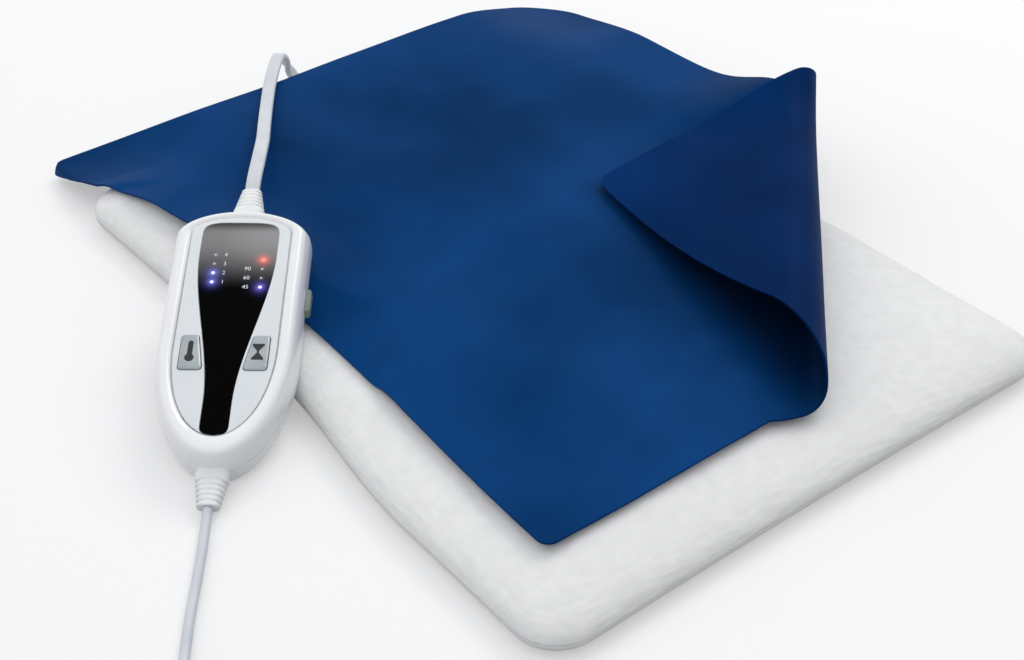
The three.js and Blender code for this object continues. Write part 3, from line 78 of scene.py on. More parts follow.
def power(value: float, exponent: float) -> float:
    """Returns value raised to exponent with its sign kept."""
    return math.copysign(abs(value) ** exponent, value)


def mix(start: float, end: float, share: float | Array) -> float | Array:
    """Returns what lies a share of the way from start to end."""
    return start + (end - start) * share


def linear(hex_colour: str) -> Colour:
    """Turns a written colour into the renderer's linear values.

    Args:
        hex_colour: six hexadecimal digits.

    Returns:
        Red, green, blue and an alpha of 1.
    """
    parts = [int(hex_colour[i : i + 2], 16) / 255 for i in (0, 2, 4)]
    return (*[c / 12.92 if c <= 0.04045 else ((c + 0.055) / 1.055) ** 2.4 for c in parts], 1.0)


def arc(x: float, y: float, radius: float, start: float, sweep: float, steps: int) -> list[Pair]:
    """Returns the points of an arc.

    Args:
        x: its centre.
        y: its centre.
        radius: its radius.
        start: the angle where it starts, in degrees.
        sweep: the angle that it runs through.
        steps: pieces between its points.

    Returns:
        The points, one more than the pieces.
    """
    angles = [math.radians(start + sweep * k / steps) for k in range(steps + 1)]
    return [(x + radius * math.cos(a), y + radius * math.sin(a)) for a in angles]


def oval_rings(
    sections: Iterable[Triple], squareness: float, put: Callable[[float, float, float], Point]
) -> list[list[Point]]:
    """Turns flattened sections into rings.

    Args:
        sections: place along, half width and half height of each section.
        squareness: exponent of the sections' outline; 2 is an ellipse.
        put: gives the point for a place along, across and up.

    Returns:
        The rings.
    """
    corners = 48
    rings = []
    for along, width, height in sections:
        ring = []
        for k in range(corners):
            angle = 2 * math.pi * (k + 0.5) / corners
            across = width * power(math.cos(angle), 2 / squareness)
            ring.append(put(along, across, height * power(math.sin(angle), 2 / squareness)))
        rings.append(ring)
    return rings


def ribs(count: int, shape: Sequence[Pair]) -> Iterator[Pair]:
    """Runs along a row of ribs.

    Args:
        count: how many ribs there are.
        shape: share of the way along one rib, and depth, of each of its edges.

    Yields:
        The share of the way along the row and the depth of each edge.
    """
    for rib in range(count):
        for share, sunk in shape:
            yield (rib + share) / count, sunk


def between(p: Vector, q: Vector, start: float, end: float, time: float) -> Vector:
    """Returns where one is at a time on the way from p at start to q at end."""
    return p * ((end - time) / (end - start)) + q * ((time - start) / (end - start))


def smooth_line(route: Sequence[Point], step: float) -> Ring:
    """Runs a smooth line through given points.

    Args:
        route: the points.
        step: about how far apart the line's points lie.

    Returns:
        The line's points, at least two for each stretch.
    """
    points = [Vector(p) for p in route]
    points = [points[0] * 2 - points[1], *points, points[-1] * 2 - points[-2]]
    line = [points[1]]
    for a, b, c, d in zip(points, points[1:], points[2:], points[3:]):
        t1 = (b - a).length ** 0.5
        t2 = t1 + (c - b).length ** 0.5
        t3 = t2 + (d - c).length ** 0.5
        pieces = max(2, round((c - b).length / step))
        for k in range(1, pieces + 1):
            t = t1 + (t2 - t1) * k / pieces
            before, here = between(a, b, 0.0, t1, t), between(b, c, t1, t2, t)
            after = between(c, d, t2, t3, t)
            early, late = between(before, here, 0.0, t2, t), between(here, after, t1, t3, t)
            line.append(between(early, late, t1, t2, t))
    return line


def line_length(line: Sequence[Vector]) -> float:
    """Returns a line's length."""
    return sum((b - a).length for a, b in zip(line, line[1:]))


def linked(name: str, data: bpy.types.ID) -> bpy.types.Object:
    """Makes an object of some data and links it to the scene.

    Args:
        name: the object's name.
        data: its mesh, text, camera or lamp.

    Returns:
        The object.
    """
    made = bpy.data.objects.new(name, data)
    bpy.context.scene.collection.objects.link(made)
    return made


def aimed(name: str, data: bpy.types.ID, place: Point, way: Vector) -> bpy.types.Object:
    """Puts a camera or a lamp into the scene.

    Args:
        name: the object's name.
        data: its camera or lamp.
        place: where it is.
        way: the direction that it faces.

    Returns:
        The object.
    """
    made = linked(name, data)
    made.location = place
    made.rotation_mode = "QUATERNION"
    made.rotation_quaternion = way.to_track_quat("-Z", "Y")
    return made


@dataclass
class Graph:
    """Wires one node tree.

    Args:
        tree: the node tree.
    """

    tree: bpy.types.NodeTree

    def feed(self, node: bpy.types.Node, sockets: dict[str | int, object]) -> bpy.types.Node:
        """Gives the inputs of a node their values and links.

        Args:
            node: the node.
            sockets: a value or another node's output for each input, by its name or its place.

        Returns:
            The node.
        """
        for key, value in sockets.items():
            if isinstance(value, bpy.types.NodeSocket):
                self.tree.links.new(value, node.inputs[key])
            else:
                node.inputs[key].default_value = value
        return node

    def add(self, kind: str, sockets: dict[str | int, object], **settings: object) -> bpy.types.NodeOutputs:
        """Adds a node.

        Args:
            kind: the node's type, without the words that all types start with.
            sockets: what its inputs are fed.
            settings: its own settings.

        Returns:
            The node's outputs.
        """
        made = self.tree.nodes.new(f"ShaderNode{kind}")
        for name, value in settings.items():
            setattr(made, name, value)
        return self.feed(made, sockets).outputs


class NodeGroups:
    """Shader node groups that several finishes share."""

    @staticmethod
    def start(
        name: str, takes: dict[str, str], gives: dict[str, str]
    ) -> tuple[Graph, bpy.types.NodeOutputs, bpy.types.Node]:
        """Starts a group.

        Args:
            name: the group's name.
            takes: the kind of each input.
            gives: the kind of each output.

        Returns:
            The group's graph, the sockets of its inputs and the node that its outputs are fed to.
        """
        tree = bpy.data.node_groups.new(name, "ShaderNodeTree")
        for way, sockets in (("INPUT", takes), ("OUTPUT", gives)):
            for title, kind in sockets.items():
                tree.interface.new_socket(title, in_out=way, socket_type=f"NodeSocket{kind}")
        return Graph(tree), tree.nodes.new("NodeGroupInput").outputs, tree.nodes.new("NodeGroupOutput")

    @staticmethod
    @cache
    def grain() -> bpy.types.ShaderNodeTree:
        """Returns the group whose height is a fine two-scale noise."""
        graph, entry, leave = NodeGroups.start("surface grain", {"Scale": "Float"}, {"Height": "Float"})
        place = graph.add("TexCoord", {})["Object"]
        finer = graph.add("Math", {0: entry["Scale"], 1: 3.1}, operation="MULTIPLY")[0]
        coarse = graph.add("TexNoise", {"Vector": place, "Scale": entry["Scale"], "Detail": 2.0})["Fac"]
        fine = graph.add("TexNoise", {"Vector": place, "Scale": finer, "Detail": 1.0})["Fac"]
        graph.feed(leave, {"Height": graph.add("Mix", {0: 0.4, 2: coarse, 3: fine})[0]})
        return graph.tree

    @staticmethod
    @cache
    def tone() -> bpy.types.ShaderNodeTree:
        """Returns the group that varies a colour and a roughness gently over the surface."""
        takes = {"Light": "Color", "Dark": "Color", "Scale": "Float", "Smooth": "Float", "Rough": "Float"}
        gives = {"Color": "Color", "Roughness": "Float"}
        graph, entry, leave = NodeGroups.start("tone variation", takes, gives)
        place = graph.add("TexCoord", {})["Object"]
        cloud = graph.add("TexNoise", {"Vector": place, "Scale": entry["Scale"], "Detail": 3.0})["Fac"]
        share = graph.add("MapRange", {"Value": cloud, "From Min": 0.35, "From Max": 0.65})["Result"]
        colour = graph.add("Mix", {0: share, 6: entry["Light"], 7: entry["Dark"]}, data_type="RGBA")[2]
        rough = graph.add("Mix", {0: share, 2: entry["Smooth"], 3: entry["Rough"]})[0]
        graph.feed(leave, {"Color": colour, "Roughness": rough})
        return graph.tree


@dataclass(frozen=True)
class Finish:
    """One finish of the object: its colours, gloss and fine surface.

    Args:
        name: the material's name.
        slot: the record's material slot that it stands for.
        light: the colour of the lighter patches, as six hexadecimal digits.
        dark: the colour of the darker patches.
        smooth: roughness of the smoother patches.
        rough: roughness of the rougher patches.
        patches: patches per metre.
        metallic: how metallic it is.
        grain: grains per metre.
        depth: depth of the grain in millimetres.
        coat: weight of a clear coat.
        sheen: weight of a cloth sheen.
        specular: specular level.
        transmission: how clear it is.
        glow: name of a colour attribute that shines, or nothing.
        tint: name of a colour attribute that tints the colours, or nothing.
        lamp: strength with which the light colour itself shines.
        coat_rough: roughness of the clear coat.
        sheen_rough: roughness of the cloth sheen.
    """

    name: str
    slot: str
    light: str
    dark: str
    smooth: float = 0.35
    rough: float = 0.45
    patches: float = 60.0
    metallic: float = 0.0
    grain: float = 1500.0
    depth: float = 0.02
    coat: float = 0.0
    sheen: float = 0.0
    specular: float = 0.5
    transmission: float = 0.0
    glow: str = ""
    tint: str = ""
    lamp: float = 0.0
    coat_rough: float = 0.08
    sheen_rough: float = 0.6

    @cache
    def material(self) -> bpy.types.Material:
        """Returns the material, made once."""
        made = bpy.data.materials.new(self.name)
        made.use_nodes = True
        graph = Graph(made.node_tree)
        shades = {"Light": linear(self.light), "Dark": linear(self.dark), "Scale": self.patches}
        shades |= {"Smooth": self.smooth, "Rough": self.rough}
        tone = graph.add("Group", shades, node_tree=NodeGroups.tone())
        colour = tone["Color"]
        # A tint attribute can carry painted shade, as the sheet film's does.
        if self.tint:
            shade = graph.add("Attribute", {}, attribute_name=self.tint)["Color"]
            over = {0: 1.0, 6: colour, 7: shade}
            colour = graph.add("Mix", over, data_type="RGBA", blend_type="MULTIPLY")[2]
        sockets = {
            "Base Color": colour,
            "Roughness": tone["Roughness"],
            "Metallic": self.metallic,
            "Coat Weight": self.coat,
            "Coat Roughness": self.coat_rough,
            "Sheen Weight": self.sheen,
            "Sheen Roughness": self.sheen_rough,
            "Specular IOR Level": self.specular,
            "Transmission Weight": self.transmission,
        }
        if self.depth > 0:
            grain = graph.add("Group", {"Scale": self.grain}, node_tree=NodeGroups.grain())["Height"]
            bump = {"Height": grain, "Distance": self.depth * MM, "Strength": 1.0}
            sockets["Normal"] = graph.add("Bump", bump)["Normal"]
        if self.glow:
            shine = graph.add("Attribute", {}, attribute_name=self.glow)["Color"]
            sockets |= {"Emission Color": shine, "Emission Strength": 1.0}
        if self.lamp > 0:
            sockets |= {"Emission Color": linear(self.light), "Emission Strength": self.lamp}
        graph.feed(made.node_tree.nodes["Principled BSDF"], sockets)
        return made


FLEECE = Finish(
    "white fleece", "fleece", "f7f7f6", "f2f2f1", 0.92, 1.0, 130,
    grain=1900, depth=0.22, sheen=0.2, specular=0.15,
)
# Painted sheen: the film's lighter and darker clouds, about nine to the metre, stand for its satin
# reflections.
SHEET_FILM = Finish(
    "navy waterproof film", "waterproof_film", "07407b", "002f5e", 0.38, 0.5, 9,
    # Its tint attribute carries the shade painted into the pocket under the rolled corner.
    grain=2600, depth=0.03, specular=0.016, tint="side",
)
SHELL = Finish(
    "white shell plastic", "white_shell", "f8f9fa", "f5f6f8", 0.2, 0.27, 40, grain=2500, depth=0.004, coat=0.4
)
PANEL = Finish(
    "pale panel plastic", "pale_panel", "e8ecef", "e3e8eb", 0.24, 0.3, 40, grain=2500, depth=0.004, coat=0.3
)
# Its shine attribute paints light onto the window: a pale glow on its upper part that no lamp gives, and the
# lights' halos.
WINDOW = Finish(
    "black window", "black_window", "010202", "010101", 0.05, 0.08, 30,
    grain=900, depth=0.001, specular=0.025, glow="shine",
)
BUTTON_FACE = Finish(
    "grey button plastic", "grey_button", "b2babe", "a6aeb2", 0.2, 0.26, 90,
    metallic=0.35, grain=3000, depth=0.01,
)
MARK_DARK = Finish("dark button mark", "black_plastic", "1b1f22", "15181b", 0.4, 0.5, 80)
MARK_WHITE = Finish("printed white mark", "white_rubber", "e8edf2", "dde2e8", 0.4, 0.5, 80)
KNOB = Finish("grey green knob plastic", "grey_green_knob", "7d8881", "747f78", 0.45, 0.55, 120, depth=0.015)
RUBBER = Finish("white moulded rubber", "white_rubber", "f5f6f6", "eff0f1", 0.45, 0.55, 80, depth=0.012)
CABLE = Finish("white cable jacket", "white_cable", "d6dbe0", "cdd3d9", 0.4, 0.5, 60, depth=0.012)
BOARD = Finish("green board laminate", "circuit_board", "1f6340", "184f33", 0.35, 0.5, 300, depth=0.03)
BLACK = Finish("black moulded plastic", "black_plastic", "202224", "17181a", 0.45, 0.6, 150, depth=0.02)
ORANGE = Finish("orange dipped case", "orange_plastic", "c4851b", "ad7216", 0.25, 0.35, 150, depth=0.02)
STEEL = Finish("zinc plated steel", "steel", "b4b6b8", "9fa1a3", 0.25, 0.4, 200, metallic=1.0)
PIN_METAL = Finish("nickel plated pin", "plug_metal", "c9c6bb", "b9b6aa", 0.18, 0.3, 200, metallic=1.0)
FELT = Finish("needled felt", "felt", "d4c8b0", "bfb198", 0.95, 1.0, 90, depth=0.4, sheen=0.3)
WIRE = Finish("red heater wire", "heater_wire", "b9462f", "a33c28", 0.5, 0.6, 150)
CLEAR = Finish("clear light pipe", "clear_light", "e3ebf3", "d7e0ea", 0.12, 0.2, 90)
FUSE_GLASS = Finish("fuse glass", "glass_tube", "cfd8da", "c3ccce", 0.05, 0.08, 90, transmission=0.8, depth=0)
# Painted glow: an unlit light shines faintly, though it is off.
DIM_LIGHT = Finish("unlit light", "clear_light", "c9cfda", "bcc3cf", 0.2, 0.3, 90, lamp=0.25)
BLUE_LIGHT = Finish("lit blue light", "clear_light", "c3cbff", "b4bdfb", 0.2, 0.3, 90, lamp=1.2)
RED_LIGHT = Finish("lit red light", "clear_light", "ff8f78", "ff6a50", 0.2, 0.3, 90, lamp=1.0)


@dataclass
class Shaper:
    """Builds one closed mesh with bmesh operators.

    Args:
        name: the piece's name.
        mesh: the mesh so far.
    """

    name: str
    mesh: bmesh.types.BMesh = field(default_factory=bmesh.new)

    def whole(self) -> list[bmesh.types.BMFace | bmesh.types.BMEdge | bmesh.types.BMVert]:
        """Returns the mesh's faces, edges and vertices."""
        return self.mesh.faces[:] + self.mesh.edges[:] + self.mesh.verts[:]

    def ring(self, points: Iterable[Point]) -> Edges:
        """Lays a closed ring of vertices.

        Args:
            points: the ring's points.

        Returns:
            The ring's edges in order.
        """
        verts = [self.mesh.verts.new(p) for p in points]
        return [self.mesh.edges.new(pair) for pair in zip(verts, verts[1:] + verts[:1])]

    def grow(self, edges: Edges, points: Sequence[Point]) -> Edges:
        """Extrudes a closed ring of edges to the points of the next ring.

        Args:
            edges: the last ring's edges, in order.
            points: as many points for the next ring.

        Returns:
            The next ring's edges, in order.
        """
        count = len(edges)
        order = {self.first(edges, i): i for i in range(count)}
        made = bmesh.ops.extrude_edge_only(self.mesh, edges=edges)["geom"]
        found = {frozenset(e.verts): e for e in made if isinstance(e, bmesh.types.BMEdge)}
        ring: dict[int, bmesh.types.BMVert] = {}
        for vert in (v for v in made if isinstance(v, bmesh.types.BMVert)):
            for other in (edge.other_vert(vert) for edge in vert.link_edges):
                if other in order:
                    ring[order[other]] = vert
                    vert.co = Vector(points[order[other]])
        return [found[frozenset((ring[i], ring[(i + 1) % count]))] for i in range(count)]

    @staticmethod
    def first(edges: Edges, i: int) -> bmesh.types.BMVert:
        """Returns the vertex where edge i of a closed ring starts."""
        before = set(edges[i - 1].verts)
        return next(v for v in edges[i].verts if v in before)

    def loft(self, rings: Sequence[Sequence[Point]], endless: bool = False) -> "Shaper":
        """Joins rings of equally many points into a closed solid.

        Args:
            rings: the rings in order.
            endless: whether the last ring joins the first instead of both being capped.

        Returns:
            This shaper.
        """
        start = self.ring(rings[0])
        last = start
        for points in rings[1:]:
            last = self.grow(last, points)
        if endless:
            bmesh.ops.bridge_loops(self.mesh, edges=last + start)
        else:
            bmesh.ops.contextual_create(self.mesh, geom=start)
            bmesh.ops.contextual_create(self.mesh, geom=last)
        return self

    def placed(self, matrix: Matrix) -> "Shaper":
        """Moves the whole mesh by a matrix and returns this shaper."""
        bmesh.ops.transform(self.mesh, matrix=matrix, verts=self.mesh.verts)
        return self

    def outward(self) -> "Shaper":
        """Turns the faces outward and returns this shaper."""
        bmesh.ops.recalc_face_normals(self.mesh, faces=self.mesh.faces)
        return self

    def object(self) -> bpy.types.Object:
        """Puts the mesh into the scene as an object, which ends this shaper's work."""
        data = bpy.data.meshes.new(self.name)
        self.mesh.to_mesh(data)
        self.mesh.free()
        return linked(self.name, data)

    def drilled(self, places: Sequence[Pair], radius: float, low: float, high: float) -> "Shaper":
        """Drills upright holes.

        Args:
            places: the holes' places in the mesh's own plane.
            radius: their radius.
            low: where they start.
            high: where they end.

        Returns:
            This shaper.
        """
        drills = Shaper("drills")
        size = {"radius1": radius, "radius2": radius, "depth": high - low, "segments": 32}
        for x, y in places:
            middle = Matrix.Translation((x, y, (low + high) / 2))
            bmesh.ops.create_cone(drills.mesh, cap_ends=True, matrix=middle, **size)
        solid = Shaper("undrilled", self.mesh).outward().object()
        data = self.carved(solid, [drills.outward().object()])
        self.mesh = bmesh.new()
        self.mesh.from_mesh(data)
        bpy.data.meshes.remove(data)
        bpy.data.meshes.remove(solid.data)
        return self

    @staticmethod
    def carved(solid: bpy.types.Object, cutters: Sequence[bpy.types.Object]) -> bpy.types.Mesh:
        """Cuts an object with Blender's own Boolean modifier and removes what cuts it.

        Args:
            solid: the object, which keeps its own mesh.
            cutters: the objects that cut it.

        Returns:
            The mesh that is left.
        """
        for cutter in cutters:
            cut = solid.modifiers.new("opening", "BOOLEAN")
            cut.operation, cut.solver, cut.object = "DIFFERENCE", "EXACT", cutter
        bpy.context.view_layer.update()
        graph = bpy.context.evaluated_depsgraph_get()
        data = bpy.data.meshes.new_from_object(solid.evaluated_get(graph))
        solid.modifiers.clear()
        for cutter in cutters:
            bpy.data.meshes.remove(cutter.data)
        return data

    def finish(
        self,
        finish: Finish,
        body: Body = Body.PAD_SET,
        replaces: Sequence[str] = (),
        crease: float = 40.0,
    ) -> bpy.types.Object:
        """Makes the object, dresses it and lets it ride on its body.

        Args:
            finish: the piece's finish.
            body: the body that it moves with.
            replaces: CAD nodes that it stands for.
            crease: angle in degrees above which an edge stays sharp.

        Returns:
            The new object.
        """
        self.outward()
        for face in self.mesh.faces:
            face.smooth = True
        for edge in self.mesh.edges:
            if len(edge.link_faces) == 2:
                edge.smooth = edge.calc_face_angle(0.0) < math.radians(crease)
        made = self.object()
        made.data.materials.append(finish.material())
        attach(made, body.value)
        if replaces:
            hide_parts(*replaces)
        log.info("%s: %d faces", self.name, len(made.data.polygons))
        return made


@dataclass
class PhotoCamera:
    """The camera at the photograph's viewing angle.

    Args:
        focal_px: focal length in pixels of a frame as wide as frame_px.
        frame_px: the photograph's width in pixels.
        sensor: the sensor's width in millimetres.
        elevation: degrees above the horizon.
        azimuth: degrees round the object.
        distance: millimetres from the target.
        target: the point that it looks at, in millimetres.
    """

    focal_px: float = 1786.074
    frame_px: int = 1024
    sensor: float = 36.0
    elevation: float = 36.991
    azimuth: float = -38.617
    distance: float = 884.994
    target: Triple = (-31.063, -23.590, 0.0)

    def build(self) -> None:
        """Makes the camera and gives it to the scene."""
        data = bpy.data.cameras.new("photo_camera")
        data.sensor_width = self.sensor
        data.lens = self.focal_px / self.frame_px * self.sensor
        data.clip_start, data.clip_end = 0.01, 20.0
        az, el = math.radians(self.azimuth), math.radians(self.elevation)
        back = Vector((math.sin(az) * math.cos(el), -math.cos(az) * math.cos(el), math.sin(el)))
        place = (Vector(self.target) + back * self.distance) * MM
        bpy.context.scene.camera = aimed("photo_camera", data, place, -back)


@dataclass
class Cords:
    """The two free cords: the flat pad cord and the round mains cord with its coil, in metres.

    Args:
        pad_route: given points of the pad cord.
        mains_route: given points from the controller to the coil.
        tail_route: given points from the coil to the plug.
        pad_step: about how far apart the pad cord's rings lie; mains_step is the mains cord's.
        flat_powers: how square the flat cord's section is across and up.
        flat_sides: corners of that section; mains_sides are the round one's.
        groove: depth and width of the groove between its strands, as shares of the cord.
        coil_pitch: how far apart the coil's turns lie.
        coil_start: direction in degrees where it starts.
        tie_gap: gap between the coil and its tie.
        tie_foot: how far up the coil the tie's tail starts, as a share.
        tie_twist: how far the tail twists, in degrees.
        tie_lean: how far it rises and leans inward.
        tail_size: its width and thickness, as shares of the tie's.
    """

    pad_route: tuple[Point, ...] = (
        (-0.10707, 0.08676, 0.05593),
        (-0.10265, 0.09207, 0.05798),
        (-0.088, 0.111, 0.0565),
        (-0.070, 0.137, 0.0485),
        (-0.052, 0.165, 0.0398),
        (-0.036, 0.189, 0.0342),
        (-0.020, 0.211, 0.0326),
        (-0.006, 0.227, 0.034),
        (0.002, 0.236, 0.032),
        (0.008, 0.2415, 0.026),
        (0.011, 0.2415, 0.0185),
        (0.0132, 0.236, 0.0116),
        (0.0142, 0.2295, 0.0092),
        (0.0142, 0.2223, 0.009),
    )
    mains_route: tuple[Point, ...] = (
        (-0.21822, -0.04664, 0.00449),
        (-0.22104, -0.05003, 0.00319),
        (-0.226, -0.0565, 0.0026),
        (-0.233, -0.066, 0.0025),
        (-0.243, -0.079, 0.0025),
        (-0.256, -0.0955, 0.0025),
        (-0.2704, -0.1153, 0.0025),
        (-0.284, -0.1355, 0.0027),
        (-0.293, -0.1489, 0.0032),
        (-0.2968, -0.1545, 0.00343),
        (-0.29956, -0.1586, 0.00345),
    )
    tail_route: tuple[Point, ...] = (
        (-0.3076, -0.1849, 0.01875),
        (-0.3076, -0.1896, 0.0186),
        (-0.3075, -0.197, 0.017),
        (-0.3072, -0.206, 0.014),
        (-0.305, -0.216, 0.0108),
        (-0.2998, -0.226, 0.0083),
        (-0.293, -0.232, 0.0072),
        (-0.287, -0.2344, 0.0069),
        (-0.2823, -0.2345, 0.0069),
    )
    pad_step: float = 0.0022
    mains_step: float = 0.0023
    flat_width: float = 0.0072
    flat_thickness: float = 0.0040
    flat_powers: Pair = (0.8, 0.55)
    flat_sides: int = 24
    groove: Pair = (0.3, 0.17)
    mains_diameter: float = 0.0046
    mains_sides: int = 14
    coil_centre: Pair = (-0.2766, -0.180)
    coil_radius: float = 0.031
    coil_pitch: float = 0.0051
    coil_base: float = 0.0035
    coil_layers: int = 4
    coil_turns: float = 10 + 34 / 360
    coil_steps: int = 64
    coil_start: float = 146.0
    tie_gap: float = 0.00035
    tie_width: float = 0.005
    tie_thickness: float = 0.0008
    tie_angle: float = 60.0
    tie_tail: float = 0.013
    tie_foot: float = 0.6
    tie_twist: float = 540.0
    tie_lean: Pair = (0.75, 0.66)
    tail_size: Pair = (0.8, 1.6)

    def coil_point(self, angle: float) -> Vector:
        """Returns the coil's centreline at an angle.

        Args:
            angle: the angle wound so far, in radians.

        Returns:
            The point.
        """
        sweep = self.coil_turns * 2 * math.pi / self.coil_layers
        layer = min(int(angle / sweep), self.coil_layers - 1)
        within = self.coil_pitch * (angle - layer * sweep) / (2 * math.pi)
        depth = self.coil_pitch * sweep / (2 * math.pi)
        radius = self.coil_radius - (within if layer % 2 == 0 else depth - within)
        climb = sum(ease((angle - k * sweep + math.pi / 2) / math.pi) for k in range(1, self.coil_layers))
        way = math.radians(self.coil_start) + angle
        x, y = self.coil_centre
        height = self.coil_base + self.coil_pitch * climb
        return Vector((x + radius * math.cos(way), y + radius * math.sin(way), height))

    def mains_line(self) -> Ring:
        """Returns the mains cord's centreline from the controller to the plug."""
        whole = self.coil_turns * 2 * math.pi
        steps = round(self.coil_turns * self.coil_steps)
        coil = [self.coil_point(whole * k / steps) for k in range(steps + 1)]
        first = smooth_line([*self.mains_route, coil[0]], self.mains_step)
        last = smooth_line([coil[-1], *self.tail_route], self.mains_step)
        return [*first, *coil[1:-1], *last]

    @staticmethod
    def tube(name: str, line: Sequence[Vector], section: Callable[[float], Pair], sides: int) -> Shaper:
        """Sweeps a level section along a line.

        Args:
            name: the piece's name.
            line: the centreline.
            section: gives the across and up offsets for an angle.
            sides: corners of the section.

        Returns:
            The shaper with the tube.
        """
        rings = []
        offsets = [section(2 * math.pi * k / sides) for k in range(sides)]
        for i, point in enumerate(line):
            way = (line[min(i + 1, len(line) - 1)] - line[max(i - 1, 0)]).normalized()
            across = Vector((-way.y, way.x, 0)).normalized()
            upward = way.cross(across)
            rings.append([point + across * a + upward * u for a, u in offsets])
        return Shaper(name).loft(rings)

    def flat_section(self, angle: float) -> Pair:
        """Gives the flat cord's section: two rounded strands with a shallow groove between.

        Args:
            angle: the angle round the section, in radians.

        Returns:
            How far across and up the section's edge lies.
        """
        across = self.flat_width / 2 * power(math.cos(angle), self.flat_powers[0])
        upward = self.flat_thickness / 2 * power(math.sin(angle), self.flat_powers[1])
        depth, width = self.groove
        return across, upward * (1 - depth * math.exp(-((across / (self.flat_width * width)) ** 2)))

    def round_section(self, angle: float) -> Pair:
        """Gives the round cord's section; it takes and returns what flat_section does."""
        radius = self.mains_diameter / 2
        return radius * math.cos(angle), radius * math.sin(angle)

    def build_tie(self) -> None:
        """Builds the tie round the coil's bundle, its two ends twisted together."""
        margin = self.mains_diameter / 2 + self.tie_gap
        depth = self.coil_pitch * self.coil_turns / self.coil_layers
        near, far = self.coil_radius - depth, self.coil_radius
        base, top = self.coil_base, self.coil_base + self.coil_pitch * (self.coil_layers - 1)
        way = math.radians(self.tie_angle)
        radial = Vector((math.cos(way), math.sin(way), 0))
        sideways = Vector((-math.sin(way), math.cos(way), 0))
        centre, upright = Vector((*self.coil_centre, 0)), Vector((0, 0, 1))
        half, thick, soft = self.tie_width / 2, self.tie_thickness, self.tie_thickness / 4
        section = [(-half, soft), (soft - half, 0), (half - soft, 0), (half, soft)]
        section += [(a, thick - b) for a, b in reversed(section)]
        bends, steps = 8, 32
        rings = []
        for quarter, (along, height) in enumerate(((far, top), (near, top), (near, base), (far, base))):
            for k in range(bends + 1):
                turn = (quarter + k / bends) * math.pi / 2
                out = radial * math.cos(turn) + upright * math.sin(turn)
                middle = centre + radial * along + upright * height + out * margin
                rings.append([middle + sideways * a + out * b for a, b in section])
        shaper = Shaper("coil_tie_band").loft(rings, endless=True)
        start = centre + radial * (near - margin) + upright * (base + (top - base) * self.tie_foot)
        rise, inward = self.tie_lean
        lean = (upright * rise - radial * inward).normalized()
        wide, deep = self.tail_size
        tail = [(a * wide, b * deep - thick * deep / 2) for a, b in section]
        rings = []
        for k in range(steps + 1):
            turn = math.radians(self.tie_twist) * k / steps
            flat = sideways * math.cos(turn) + sideways.cross(lean) * math.sin(turn)
            edge = lean.cross(flat)
            middle = start + lean * (self.tie_tail * k / steps)
            rings.append([middle + flat * a + edge * b for a, b in tail])
        shaper.loft(rings).finish(BLACK, replaces=["coil_tie"], crease=35)

    def build(self) -> None:
        """Builds both cords."""
        self.build_tie()
        pad_line = smooth_line(self.pad_route, self.pad_step)
        flat = self.tube("pad_cord_flat", pad_line, self.flat_section, self.flat_sides)
        pad_cord = flat.finish(CABLE, replaces=["pad_cord"], crease=60)
        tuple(self.pad_route[0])
        round(line_length(pad_line), 3)
        [tuple(p) for p in pad_line]
        line = self.mains_line()
        round_cord = self.tube("mains_cord_round", line, self.round_section, self.mains_sides)
        mains = round_cord.finish(
            CABLE, replaces=["mains_cord", "mains_cord_coil", "mains_cord_tail"], crease=60
        )
        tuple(self.mains_route[0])
        round(line_length(line), 3)
        [tuple(p) for p in line]
        log.info("pad cord %.3f m, mains cord %.3f m", line_length(pad_line), line_length(line))


